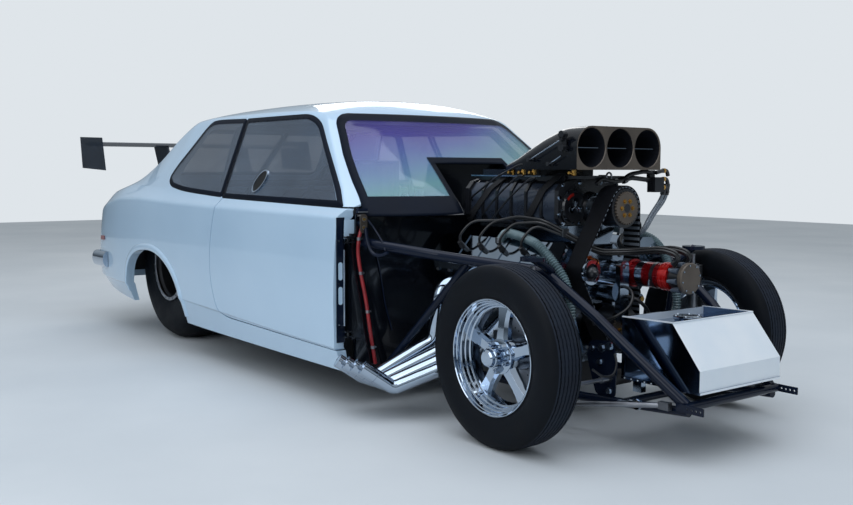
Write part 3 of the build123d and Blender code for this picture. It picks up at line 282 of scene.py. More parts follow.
# Polished alloy sheet: bright and even.
tank_sheet = finish_of("polished_alloy_sheet", "dde3e8", "cdd4da", 0.12, metal=1.0, scale=7.0, relief=0.03)
# Zinc-plated steel: mid grey, slightly rough.
plain_steel = finish_of("zinc_plated_steel", "9a9da3", "7f8288", 0.35, metal=1.0, scale=15.0, relief=0.1)
# Black seat cloth: soft, with a weave too fine to mirror anything.
seat_cloth = finish_of("black_seat_cloth", "17171a", "101013", 0.85, scale=25.0, relief=0.5, grain=1200.0)
# Gloss black composite of the wing.
wing_gloss = finish_of("gloss_black_composite", "16202e", "101823", 0.2, coat=0.15, scale=4.0, shine=0.25)
# Moulded red lens: dark red with a glassy face.
red_lens = finish_of("red_lamp_lens", "8c0f12", "6f0a0d", 0.15, coat=0.8, scale=8.0)
# Hose rubber: black with a faint sheen.
hose_rubber = finish_of("black_hose_rubber", "1b1b1e", "131315", 0.45, scale=18.0, relief=0.2)
# Dull sheet of the floor and tubs: dark grey, with hardly a highlight.
floor_alloy = finish_of("dull_floor_sheet", "4b4d52", "3c3e43", 0.45, metal=0.7, scale=8.0, relief=0.15)
SLOT_FINISH = {
    "body_white": white_paint,
    "cowl_black": black_paint,
    "frame_black": tube_black,
    "screen_glass": screen_sheet,
    "smoke_glass": smoke_sheet,
    "tyre_rubber": tyre_rubber,
    "wheel_chrome": chrome,
    "rear_rim": rear_rim_painted_shade,
    "engine_alloy": billet,
    "engine_dark": cast_dark,
    "blower_black": blower_black,
    "belt_rubber": belt_rubber,
    "magneto_red": red_anodised,
    "pipe_chrome": chrome,
    "tank_alloy": tank_sheet,
    "steel": plain_steel,
    "seat_trim": seat_cloth,
    "wing_black": wing_gloss,
    "lamp_red": red_lens,
    "hose_rubber": hose_rubber,
    "floor_alloy": floor_alloy,
}
slot_of = {row["node"]: row["material_slot"] for row in frame["record"]["subparts"]}
for node_name, thing in frame["nodes"].items():
    thing.data.materials.clear()
    thing.data.materials.append(SLOT_FINISH[slot_of[node_name]])


frame["nodes"]["oil_pan"].data.materials[0] = cast_dark
# Rocker covers polished further than the rest, a mirror of what stands round them: their colour darkened and
# blued, a painted reflection of dim surroundings.
cover_alloy = finish_of("mirror_polished_cover_dimmed_reflection", "93a1b1", "76848f", 0.06, metal=1.0, scale=3.0, relief=0.02)
frame["nodes"]["rocker_covers"].data.materials[0] = cover_alloy
# Dark tinted sheet of the wing's end plates, through which a little light comes.
end_sheet = finish_of("dark_tinted_end_sheet", "1c2836", "141e2a", 0.3, alpha=0.9, scale=5.0, shine=0.2)
frame["nodes"]["wing_end_plates"].data.materials[0] = end_sheet


# Body skin
# The coupe's pressed steel shell in gloss white: one smooth skin through half
# sections from the tail to the firewall. The first table holds the lower body,
# the next two the roof's edge and middle.
LOWER_ROWS = np.array(
    [  # x, bottom y and z, crease y and z, middle y and z, shoulder y and z, belt y and z
        (-2.108, 0.652, 0.290, 0.694, 0.318, 0.706, 0.480, 0.684, 0.690, 0.600, 0.762),
        (-2.010, 0.682, 0.245, 0.728, 0.306, 0.738, 0.495, 0.712, 0.725, 0.640, 0.800),
        (-1.830, 0.708, 0.218, 0.758, 0.302, 0.764, 0.515, 0.741, 0.760, 0.680, 0.838),
        (-1.550, 0.730, 0.197, 0.781, 0.300, 0.786, 0.525, 0.764, 0.798, 0.706, 0.866),
        (-1.200, 0.742, 0.178, 0.790, 0.300, 0.796, 0.525, 0.777, 0.806, 0.731, 0.856),
        (-0.800, 0.752, 0.163, 0.792, 0.296, 0.797, 0.522, 0.779, 0.797, 0.741, 0.842),
        (-0.300, 0.760, 0.159, 0.792, 0.284, 0.797, 0.520, 0.779, 0.791, 0.743, 0.832),
        (0.400, 0.760, 0.158, 0.792, 0.264, 0.797, 0.520, 0.778, 0.790, 0.742, 0.822),
        (0.906, 0.757, 0.158, 0.790, 0.254, 0.796, 0.520, 0.776, 0.788, 0.738, 0.812),
    ]
)
EDGE_ROWS = np.array(
    [  # x, y and z of the pillar and roof edge, then of the screen's foot
        (-2.108, 0.560, 0.770),
        (-2.010, 0.600, 0.806),
        (-1.853, 0.636, 0.844),
        (-1.700, 0.634, 0.874),
        (-1.552, 0.622, 0.918),
        (-1.311, 0.592, 1.033),
        (-1.156, 0.560, 1.139),
        (-1.030, 0.540, 1.206),
        (-0.900, 0.541, 1.238),
        (-0.690, 0.549, 1.248),
        (-0.200, 0.558, 1.250),
        (0.200, 0.552, 1.246),
        (0.340, 0.546, 1.238),
        (0.425, 0.536, 1.222),
        (0.527, 0.574, 1.139),
        (0.649, 0.621, 1.033),
        (0.783, 0.673, 0.916),
        (0.906, 0.722, 0.816),
        (0.934, 0.718, 0.790),
        (0.960, 0.650, 0.790),
        (1.000, 0.536, 0.790),
        (1.050, 0.344, 0.790),
        (1.085, 0.010, 0.790),
    ]
)
CENTRE_ROWS = np.array(
    [  # x and z of the centre line
        (-2.108, 0.776),
        (-2.010, 0.820),
        (-1.885, 0.850),
        (-1.700, 0.884),
        (-1.592, 0.920),
        (-1.357, 1.033),
        (-1.207, 1.139),
        (-1.068, 1.228),
        (-0.960, 1.274),
        (-0.840, 1.300),
        (-0.640, 1.318),
        (-0.200, 1.325),
        (0.150, 1.319),
        (0.340, 1.302),
        (0.462, 1.262),
        (0.524, 1.228),
        (0.640, 1.139),
        (0.779, 1.033),
        (0.931, 0.916),
        (1.030, 0.840),
        (1.085, 0.791),
    ]
)
WALL, PANE_WALL, CROWN = 0.045, 0.018, 2.3


def between(rows, column, x):
    """Cubic through a table's column; each slope is the harmonic mean of the chords beside it."""
    xs, ys = rows[:, 0], rows[:, column]
    h, d = np.diff(xs), np.diff(ys) / np.diff(xs)
    joint = d[:-1] * d[1:]
    m = np.concatenate([d[:1], np.where(joint > 0, 2 * joint / (d[:-1] + d[1:] + 1e-12), 0), d[-1:]])
    i = np.clip(np.searchsorted(xs, x) - 1, 0, len(h) - 1)
    t = (x - xs[i]) / h[i]
    rise = ys[i] * (1 + 2 * t) * (1 - t) ** 2 + ys[i + 1] * t**2 * (3 - 2 * t)
    return rise + h[i] * (m[i] * t * (1 - t) ** 2 + m[i + 1] * t**2 * (t - 1))


def rounded(corners, radii, steps, closed=False):
    """Polyline with corners rounded by b(t) = (1-t)^2 p + 2t(1-t) corner + t^2 q, p and q a radius off."""
    corners = [np.array(c, float) for c in corners]
    radii = radii if np.ndim(radii) else [radii] * len(corners)
    order = range(len(corners)) if closed else range(1, len(corners) - 1)
    out = [] if closed else [corners[0]]
    for k in order:
        a, b, c = corners[k - 1], corners[k], corners[(k + 1) % len(corners)]
        r = radii[k if closed else k - 1]
        p = b + (a - b) * min(r / np.linalg.norm(a - b), 0.49)
        q = b + (c - b) * min(r / np.linalg.norm(c - b), 0.49)
        for t in np.linspace(0, 1, steps + 1):
            out.append((1 - t) ** 2 * p + 2 * t * (1 - t) * b + t**2 * q)
    return np.array(out if closed else out + [corners[-1]])


def crown(x, y):
    """Height of the roof or a screen at x and y: z = edge + (middle - edge)(1 - (y / edge y)^CROWN)."""
    edge_y, edge_z, top = between(EDGE_ROWS, 1, x), between(EDGE_ROWS, 2, x), between(CENTRE_ROWS, 1, x)
    return edge_z + (top - edge_z) * (1 - np.minimum(np.abs(y) / edge_y, 1) ** CROWN)


def half_section(x, wall=0.0, pane=0.0, drop=0.0):
    """Half section at x as rows of y and z from the sill up, its corners moved inwards and then rounded."""
    low = np.array([[between(LOWER_ROWS, k, x), between(LOWER_ROWS, k + 1, x)] for k in (1, 3, 5, 7, 9)])
    low -= wall * np.array([[1, 0], [1, 0], [1, 0], [1, 0.5], [1, 0.6]])
    low[0, 1] -= drop
    low = np.insert(low, 1, low[1] - np.array([0.008, 0.008]), axis=0)
    edge_y = between(EDGE_ROWS, 1, x)
    share = np.array([1.0, 0.93, 0.84, 0.7, 0.54, 0.36, 0.18, 0.0])
    top = np.stack([edge_y * share, crown(x, edge_y * share)], 1)
    top -= pane * np.stack([share**4, np.linspace(0.7, 1, 8)], 1)
    radii = [0.004, 0.005, 0.2, 0.014, 0.03, 0.03, 0.02, 0.03, 0.04, 0.05, 0.06, 0.06]
    return rounded(list(low) + list(top), radii, 5)


def bands(rows, n, across=True, along=False, first=0):
    """Quads between rows of n points; across closes each row, along joins the last row to the first."""
    total, pairs = rows * n, [(k, (k + 1) % n) for k in range(n if across else n - 1)]
    return [
        (
            first + i * n + a, first + i * n + b,
            first + (i * n + n + b) % total,
            first + (i * n + n + a) % total,
        )
        for i in range(rows if along else rows - 1)
        for a, b in pairs
    ]


def caps(rows, n):
    """The two end faces of a closed form made of rows of n points."""
    return [tuple(range(n))[::-1], tuple(range((rows - 1) * n, rows * n))]


def body_tube(stations, wall=0.0, pane=0.0, drop=0.0):
    """Closed skin through the stations, moved inwards by wall below the belt and by pane above it."""
    rings = []
    for x in stations:
        half = [(x, y, z) for y, z in half_section(np.clip(x, -2.108, 0.906), wall, pane, drop)]
        rings.append(half + [(x, -y, z) for x, y, z in half[-2::-1]])
    size = len(rings), len(rings[0])
    return [p for ring in rings for p in ring], bands(*size) + caps(*size)


def prism(name, outline, low, high, axis="y"):
    """Closed block with a side-view (x, z) or front-view (y, z) outline between two planes."""
    n = len(outline)
    points = [(a, d, b) if axis == "y" else (d, a, b) for d in (low, high) for a, b in outline]
    solid = add_mesh(name, points, bands(2, n) + caps(2, n))
    face_outwards(solid)
    return solid


def face_outwards(thing):
    """Turns every face of a closed mesh outwards."""
    work = bmesh.new()
    work.from_mesh(thing.data)
    bmesh.ops.recalc_face_normals(work, faces=work.faces)
    work.to_mesh(thing.data)
    work.free()


def cut(thing, cutter, operation="DIFFERENCE"):
    """Boolean of a piece with a cutter, kept as the piece's own mesh; the cutter goes."""
    work = thing.modifiers.new("cut", "BOOLEAN")
    work.operation, work.solver, work.object = operation, "EXACT", cutter
    done = bpy.data.meshes.new_from_object(thing.evaluated_get(bpy.context.evaluated_depsgraph_get()))
    thing.modifiers.clear()
    thing.data = done
    bpy.data.objects.remove(cutter)


def finish_piece(thing, finish, smooth=30):
    """Gives a cut piece its one finish and smooth faces with sharp edges over the angle."""
    thing.data.materials.clear()
    thing.data.materials.append(finish)
    thing.data.polygons.foreach_set("material_index", [0] * len(thing.data.polygons))
    thing.data.polygons.foreach_set("use_smooth", [True] * len(thing.data.polygons))
    thing.data.set_sharp_from_angle(angle=math.radians(smooth))


def copy_of(thing, name):
    """A second object with its own mesh."""
    twin = bpy.data.objects.new(name, thing.data.copy())
    bpy.context.scene.collection.objects.link(twin)
    return twin


stations = np.concatenate([
    np.arange(-2.108, -0.9, 0.035), np.arange(-0.9, 0.25, 0.06), np.linspace(0.25, 0.906, 24)
])
shell_outer = add_mesh("body_shell_skin", *body_tube(stations))
face_outwards(shell_outer)
inner_stations = np.concatenate([[-2.063], stations[2:-1], [0.93]])
shell_inner = add_mesh("shell_inner", *body_tube(inner_stations, WALL, PANE_WALL, 0.06))
face_outwards(shell_inner)
cut(shell_outer, shell_inner)


# Doors and the openings of windows, arches and screens
# The steel doors are cut from the shell's own skin and hang in its gap on
# hinges. Outlines: side-view in x and z, front-view in y and z, then radii.
SIDES = ((-1, "right"), (1, "left"))
DOOR = [
    (0.903, 0.245), (-0.125, 0.262), (-0.195, 0.30), (-0.245, 0.42), (-0.258, 0.56), (-0.245, 0.70),
    (-0.205, 0.833), (0.903, 0.820),
]
DOOR_RADII = [0.01, 0.09, 0.07, 0.08, 0.08, 0.08, 0.01, 0.01]
GAP = 0.005
ARCH = [
    (-0.600, -0.1), (-0.622, 0.22), (-0.645, 0.32), (-0.713, 0.40), (-0.790, 0.455), (-0.873, 0.492),
    (-0.960, 0.515), (-1.044, 0.524), (-1.164, 0.518), (-1.240, 0.504), (-1.305, 0.480), (-1.360, 0.445),
    (-1.400, 0.395), (-1.429, 0.30), (-1.45, -0.1),
]
SIDE_HOLE = [
    (0.862, 0.800), (-0.20, 0.815), (-0.232, 0.850), (-0.70, 0.868), (-0.890, 0.892), (-0.950, 0.932),
    (-0.915, 0.993), (-0.708, 1.218), (-0.600, 1.226), (0.322, 1.220), (0.396, 1.192),
]
DOOR_GLASS = [(0.880, 0.826), (-0.214, 0.834), (-0.270, 1.231), (0.328, 1.232), (0.410, 1.202)]
QUARTER_GLASS = [
    (-0.222, 0.836), (-0.700, 0.856), (-0.900, 0.880), (-0.968, 0.925), (-0.930, 0.998), (-0.716, 1.230),
    (-0.600, 1.238), (-0.278, 1.231),
]
GLASS_RADII = {
    "door": [0.015, 0.015, 0.015, 0.06, 0.06], "quarter": [0.015, 0.15, 0.06, 0.04, 0.05, 0.09, 0.1, 0.015]
}
SCREEN_HALF = np.array([(0.790, 0.668), (0.830, 0.664), (1.040, 0.588), (1.205, 0.509), (1.232, 0.490)])
BACKLIGHT_HALF = np.array([(0.925, 0.565), (1.040, 0.512), (1.160, 0.452), (1.216, 0.405)])


def grown(outline, amount):
    """Closed outline moved outwards by the amount along its corner normals."""
    loop = np.array(outline, float)
    ahead, behind = np.roll(loop, -1, 0) - loop, loop - np.roll(loop, 1, 0)
    n = [np.stack([v[:, 1], -v[:, 0]], 1) / np.linalg.norm(v, axis=1)[:, None] for v in (ahead, behind)]
    area = np.sum(loop[:, 0] * np.roll(loop[:, 1], -1) - np.roll(loop[:, 0], -1) * loop[:, 1])
    middle = n[0] + n[1]
    middle /= np.sum(middle * n[0], 1)[:, None]
    return loop + middle * amount * (1 if area > 0 else -1)


def screen_loop(half, inset, corner):
    """Closed front-view outline of a screen from its (z, half width) rows, moved in by the inset."""
    left = [(y - inset, z) for z, y in half]
    left[0], left[-1] = (left[0][0], left[0][1] + inset), (left[-1][0], left[-1][1] - inset)
    loop = left + [(-y, z) for y, z in left[::-1]]
    n = len(half)
    radii = [corner] + [0.05] * (n - 2) + [corner] * 2 + [0.05] * (n - 2) + [corner]
    return rounded(loop, radii, 6, closed=True)


door_line = rounded(DOOR, DOOR_RADII, 6, closed=True)
arch_line = rounded(ARCH, 0.05, 4, closed=True)
side_hole = rounded(
    SIDE_HOLE, [0.02, 0.01, 0.02, 0.15, 0.06, 0.04, 0.05, 0.09, 0.1, 0.05, 0.05], 6, closed=True
)
doors = {}
for side, name in SIDES:
    doors[name] = copy_of(shell_outer, f"door_{name}_skin")
    low, high = sorted((side * 0.60, side * 0.95))
    cut(doors[name], prism("door_block", door_line, low, high), "INTERSECT")
opening = grown(door_line, GAP)
opening[opening[:, 0] > 0.85, 0] += 0.12
cut(shell_outer, prism("door_hole", opening, -0.95, 0.95))
cut(shell_outer, prism("window_hole", side_hole, -0.95, 0.95))
cut(shell_outer, prism("arch_hole", arch_line, -0.95, 0.95))
cut(shell_outer, prism("screen_hole", screen_loop(SCREEN_HALF, 0.012, 0.05), 0.36, 1.2, "x"))
cut(shell_outer, prism("backlight_hole", screen_loop(BACKLIGHT_HALF, 0.012, 0.05), -2.0, -0.95, "x"))
for thing, node, body in (
    (shell_outer, "body_shell", "chassis"),
    (doors["right"], "door_right", "door_right"),
    (doors["left"], "door_left", "door_left"),
):
    finish_piece(thing, white_paint)
    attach(thing, body)
    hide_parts(node)


# Window sheets
# Smoked plastic sheets fastened on the outside of the skin, each with a black
# border; rings of the outline shrink to its middle, every point on the skin.
SHEET, PROUD, BORDER, BORDER_RADIUS = 0.005, 0.0015, 0.024, 0.006


def side_y(x, z):
    """Half width at x and z above the belt, straight from the belt to the roof's edge."""
    belt_y, belt_z = between(LOWER_ROWS, 9, x), between(LOWER_ROWS, 10, x)
    edge_y, edge_z = between(EDGE_ROWS, 1, x), between(EDGE_ROWS, 2, x)
    return belt_y + (edge_y - belt_y) * np.clip((z - belt_z) / (edge_z - belt_z), 0, 1)


def screen_x(y, z, low, high):
    """Place along the car where the skin's height at y is z, by halving the stretch from low to high."""
    a, b = np.full(len(y), float(low)), np.full(len(y), float(high))
    falling = crown(np.array([high]), np.array([0.0]))[0] < crown(np.array([low]), np.array([0.0]))[0]
    for _ in range(40):
        middle = (a + b) / 2
        above = crown(middle, y) > z
        further = above if falling else ~above
        a, b = np.where(further, middle, a), np.where(further, b, middle)
    return a


def stepped(outer, inner, step=0.05):
    """Both outlines with the outer's long straight sides divided, so that the sheet bends with the skin."""
    parts = [int(np.linalg.norm(b - a) / step) + 1 for a, b in zip(outer, np.roll(outer, -1, 0))]
    return [
        np.array([
            a + (b - a) * k / n for a, b, n in zip(loop, np.roll(loop, -1, 0), parts) for k in range(n)
        ])
        for loop in (outer, inner)
    ]


def sheet_rings(loop, inner, placed, shrink=(1.0, 0.88, 0.74, 0.6, 0.45, 0.3, 0.15)):
    """Points and faces of a sheet: outer edge, inner edge of the border, then rings to the middle."""
    middle = inner.mean(0)
    rings = [loop] + [middle + (inner - middle) * s for s in shrink]
    flat = np.concatenate(rings + [middle[None]])
    points = placed(flat)
    n, rows = len(loop), len(rings)
    fan = [((rows - 1) * n + k, (rows - 1) * n + (k + 1) % n, rows * n) for k in range(n)]
    faces = bands(rows, n) + fan
    return points, faces, n


def add_sheet(name, points, faces, bordered, glass, outwards):
    """Sheet of one thickness with its border faces first; outwards is the way its outer face looks."""
    thing = add_mesh(name, points, faces, [sheet_black, glass])
    marks = [0 if k in bordered else 1 for k in range(len(faces))]
    thing.data.polygons.foreach_set("material_index", marks)
    thing.data.polygons.foreach_set("use_smooth", [True] * len(faces))
    if sum(f.area * f.normal.dot(Vector(outwards)) for f in thing.data.polygons) < 0:
        thing.data.flip_normals()
    thick = thing.modifiers.new("thickness", "SOLIDIFY")
    thick.thickness, thick.offset = SHEET, -1
    return thing


for side, name in SIDES:
    for kind, loop, body in (("door", DOOR_GLASS, f"door_{name}"), ("quarter", QUARTER_GLASS, "chassis")):
        radii = np.array(GLASS_RADII[kind])
        outer = rounded(loop, radii, 6, closed=True)
        inner = rounded(grown(loop, -BORDER), np.maximum(radii - BORDER, BORDER_RADIUS), 6, closed=True)
        line, inner = stepped(outer, inner)

        def placed(flat):
            return [(x, side * (side_y(x, z) + PROUD), z) for x, z in flat]

        points, faces, n = sheet_rings(line, inner, placed)
        sheet = add_sheet(f"{kind}_window_{name}_sheet", points, faces, range(n), smoke_sheet, (0, side, 0.3))
        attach(sheet, body)
        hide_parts(f"{kind}_window_{name}")

back_line, back_inner = stepped(
    screen_loop(BACKLIGHT_HALF, 0.0, 0.06), screen_loop(BACKLIGHT_HALF, 0.03, 0.035)
)
points, faces, n = sheet_rings(
    back_line, back_inner,
    lambda flat: [(x - PROUD, y, z) for x, (y, z) in zip(screen_x(flat[:, 0], flat[:, 1], -2.0, -0.9), flat)],
)
sheet = add_sheet("rear_window_sheet", points, faces, range(n), smoke_sheet, (-1, 0, 1))
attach(sheet, "chassis")
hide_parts("rear_window")


# Windscreen
# A coated clear sheet with a black border and a recess for the blower cut into
# its foot, in rows of height and columns of width; the border is the outer
# column, the foot and top rows, and the column beside the recess.
SCREEN_TOP, TOP_BAND, SIDE_BAND, FOOT_TOP = 1.232, 0.034, 0.034, 0.866
NOTCH_TOP, NOTCH_BAND, NOTCH_FOOT_HALF, NOTCH_TOP_HALF = 1.006, 0.026, 0.248, 0.202
CORNER, INNER_CORNER = 0.055, 0.035


def corner_cut(z, top, r):
    """How far a rounded corner of radius r below top stands in at the height z: r - sqrt(r^2 - h^2)."""
    h = np.clip(z - (top - r), 0, r)
    return r - np.sqrt(np.maximum(r * r - h * h, 0))


levels = np.unique(np.round(np.concatenate([
    [0.790, FOOT_TOP, NOTCH_TOP, NOTCH_TOP + NOTCH_BAND, SCREEN_TOP - TOP_BAND],
    np.linspace(0.80, 1.17, 20), np.linspace(1.165, SCREEN_TOP, 16)]), 4))
points, faces, border = [], [], set()
for z in levels:
    side_half = np.interp(z, SCREEN_HALF[:, 0], SCREEN_HALF[:, 1])
    outer = side_half - corner_cut(z, SCREEN_TOP, CORNER)
    inner = side_half - SIDE_BAND - corner_cut(
        min(z, SCREEN_TOP - TOP_BAND), SCREEN_TOP - TOP_BAND, INNER_CORNER
    )
    notch = NOTCH_FOOT_HALF + (NOTCH_TOP_HALF - NOTCH_FOOT_HALF) * (z - 0.79) / (NOTCH_TOP - 0.79)
    half = np.concatenate([
        [0, notch * 0.5, notch, notch + NOTCH_BAND], np.linspace(notch + NOTCH_BAND, inner, 8)[1:], [outer]
    ])
    row = np.concatenate([-half[::-1], half[1:]])
    columns = len(row)
    x = screen_x(row, np.full(columns, z), 0.30, 1.0849)
    points += [(a + PROUD, b, z + PROUD) for a, b in zip(x, row)]
middle = columns // 2
for i in range(len(levels) - 1):
    z = (levels[i] + levels[i + 1]) / 2
    for k in range(columns - 1):
        place = min(abs(k - middle), abs(k + 1 - middle))
        if z < NOTCH_TOP and place < 2:
            continue
        in_band = place <= 2 and z < NOTCH_TOP + NOTCH_BAND
        if in_band or z < FOOT_TOP or z > SCREEN_TOP - TOP_BAND or k in (0, columns - 2):
            border.add(len(faces))
        a = i * columns + k
        faces.append((a, a + 1, a + 1 + columns, a + columns))
sheet = add_sheet("windscreen_sheet", points, faces, border, screen_sheet, (1, 0, 1))
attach(sheet, "chassis")
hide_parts("windscreen")


# Front tyres
# Narrow moulded tyres: a rounded wall and a crowned tread with six grooves,
# whose edges are notched every fifth step round; the tread is scrubbed grey.
def lathe(profile, centre, axis="y", side=1, n=96):
    """Closed profile of (along, radius) turned about the axis: along * side, and r cos t, r sin t across."""
    turn = np.linspace(0, 2 * math.pi, n, endpoint=False)
    points = []
    for along, r in profile:
        c, s = r * np.cos(turn), r * np.sin(turn)
        line = np.full(n, along * side)
        stack = {"y": (c, line, s), "x": (line, c, s), "z": (c, s, line)}[axis]
        points.append(np.stack(stack, 1) + np.array(centre))
    return np.concatenate(points), bands(len(profile), n, along=True)


def assemble(name, parts, finishes, smooth=35, bevel=0.0, width=1):
    """One mesh object from (shape, finish number) pairs, its faces turned outwards; bevel is in metres."""
    points, faces, marks = [], [], []
    for (some, more), mark in parts:
        faces += [tuple(i + len(points) for i in f) for f in more]
        points += [tuple(p) for p in np.asarray(some)]
        marks += [mark] * len(more)
    thing = add_mesh(name, points, faces, finishes)
    thing.data.polygons.foreach_set("material_index", marks)
    face_outwards(thing)
    thing.data.polygons.foreach_set("use_smooth", [True] * len(faces))
    thing.data.set_sharp_from_angle(angle=math.radians(smooth))
    if bevel:
        soft = thing.modifiers.new("edges", "BEVEL")
        soft.width, soft.segments, soft.limit_method = bevel, width, "ANGLE"
        soft.angle_limit = math.radians(50)
        soft.harden_normals = True
    return thing


def put(thing, body, slot, *nodes):
    """Sets a piece's body and hides the nodes it stands for; the slot is not used."""
    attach(thing, body)
    if nodes:
        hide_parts(*nodes)


FRONT_AXLE, FRONT_R = (1.708, 0.0, 0.326), 0.326
TREAD_IN, TREAD_OUT, TREAD_DROP, TREAD_EDGE = 0.536, 0.639, 0.0026, 0.010
GROOVES, GROOVE_HALF, GROOVE_DEEP, SCRUBBED_DEEP = 6, 0.0023, 0.006, 0.004
NOTCH, NOTCH_STEP, TYRE_STEPS = 0.0019, 5, 300
WALL_OUT = [
    (0.664, 0.285), (0.6655, 0.270), (0.665, 0.252), (0.661, 0.234), (0.655, 0.220), (0.650, 0.212),
    (0.652, 0.208), (0.648, 0.204),
]


def tread_radius(y):
    """Radius of the tread at y: the full radius less the drop times the square of the way out."""
    t = (y - (TREAD_IN + TREAD_OUT) / 2) / ((TREAD_OUT - TREAD_IN) / 2)
    return FRONT_R - TREAD_DROP * t * t


groove_y = np.linspace(TREAD_IN + TREAD_EDGE, TREAD_OUT - TREAD_EDGE, GROOVES)
tread = []
for y in groove_y:
    top, foot = tread_radius(y), tread_radius(y) - GROOVE_DEEP
    tread += [
        (y - GROOVE_HALF, top),
        (y - GROOVE_HALF / 2, foot),
        (y + GROOVE_HALF / 2, foot),
        (y + GROOVE_HALF, top),
    ]
outer_wall = [
    (TREAD_OUT, tread_radius(TREAD_OUT)), (0.648, 0.3185), (0.656, 0.309), (0.661, 0.298)
] + WALL_OUT
inner_wall = [(TREAD_IN + TREAD_OUT - y, r) for y, r in outer_wall]
tyre_line = inner_wall[::-1] + tread + outer_wall
for side, name in SIDES:
    points, faces = lathe(tyre_line, FRONT_AXLE, "y", side, TYRE_STEPS)
    shift = np.zeros((len(tyre_line), TYRE_STEPS))
    first = len(inner_wall)
    for g in range(GROOVES):
        shift[first + 4 * g, ::NOTCH_STEP] = -NOTCH
        shift[first + 4 * g + 3, 2::NOTCH_STEP] = NOTCH
    points[:, 1] += side * shift.ravel()
    tyre = assemble(f"front_tyre_{name}_ribbed", [((points, faces), 0)], [tyre_rubber, tread_rubber], 40)
    for face in tyre.data.polygons:
        out = math.hypot(face.center.x - FRONT_AXLE[0], face.center.z - FRONT_AXLE[2])
        face.material_index = int(out > FRONT_R - SCRUBBED_DEEP and TREAD_IN < abs(face.center.y) < TREAD_OUT)
    put(tyre, f"wheel_front_{name}", "tyre_rubber", f"front_tyre_{name}")


# Front wheels
# Chromed alloy wheels on the tyres' beads: stepped rim, five tapered spokes
# with sloped flanks, hub with its cap and nuts, and the drilled steel disc
# behind, held by the same nuts. SPOKE rows: radius, half width, front, back.
def frame_of(direction):
    """Two unit vectors square to a direction and to each other."""
    d = np.array(direction, float) / np.linalg.norm(direction)
    u = np.cross(d, (0, 0, 1) if abs(d[2]) < 0.9 else (1, 0, 0))
    u /= np.linalg.norm(u)
    return d, u, np.cross(d, u)


def rod(start, end, r, n=20, r_end=None):
    """Round bar between two points; n = 6 makes it a hexagon, and r_end a cone."""
    start, end = np.array(start, float), np.array(end, float)
    _, u, v = frame_of(end - start)
    turn = np.linspace(0, 2 * math.pi, n, endpoint=False)
    ring = np.outer(np.cos(turn), u) + np.outer(np.sin(turn), v)
    points = np.concatenate([start + ring * r, end + ring * (r if r_end is None else r_end)])
    return points, bands(2, n) + caps(2, n)


def spots_round(centre, r, count, start=0.0, axis="y"):
    """Points round a centre, square to the axis: c + r (cos a, sin a), a = start + 2 pi k / count."""
    turn = start + 2 * math.pi * np.arange(count) / count
    c, s, flat = r * np.cos(turn), r * np.sin(turn), np.zeros(count)
    return np.stack(
        {"y": (c, flat, s), "x": (flat, c, s), "z": (c, s, flat)}[axis], 1
    ) + np.array(centre, float)


RIM = [
    (0.540, 0.2068), (0.546, 0.2068), (0.550, 0.199), (0.560, 0.176), (0.585, 0.172), (0.640, 0.199),
    (0.646, 0.2062), (0.653, 0.2072), (0.6545, 0.2040), (0.6520, 0.2010), (0.6440, 0.1990), (0.6420, 0.1955),
    (0.6300, 0.1925), (0.6280, 0.1880), (0.6150, 0.1860), (0.6130, 0.1815), (0.6000, 0.1790),
    (0.5975, 0.1730), (0.5850, 0.1690), (0.5600, 0.1680), (0.5480, 0.1820), (0.5420, 0.1950),
]
SPOKE = [
    (0.040, 0.031, 0.609, 0.574), (0.075, 0.0255, 0.607, 0.574), (0.120, 0.0245, 0.602, 0.572),
    (0.150, 0.028, 0.598, 0.570), (0.172, 0.034, 0.594, 0.568),
]
HUB = [
    (0.488, 0.0), (0.488, 0.058), (0.545, 0.058), (0.560, 0.064), (0.600, 0.066), (0.610, 0.062),
    (0.613, 0.050), (0.613, 0.0),
]
CAP = [
    (0.612, 0.0), (0.612, 0.036), (0.620, 0.038), (0.626, 0.035), (0.648, 0.034), (0.650, 0.036),
    (0.655, 0.036), (0.657, 0.033), (0.668, 0.030), (0.6735, 0.024), (0.675, 0.010), (0.675, 0.0),
]
DISC = [(0.488, 0.060), (0.488, 0.138), (0.496, 0.138), (0.496, 0.060)]
STUD_R, SPOKE_EDGE, SPOKE_BEVEL, VALVE_R, VALVE_TURN = 0.050, 0.012, 0.009, 0.176, math.radians(236)
ax, _, az = FRONT_AXLE
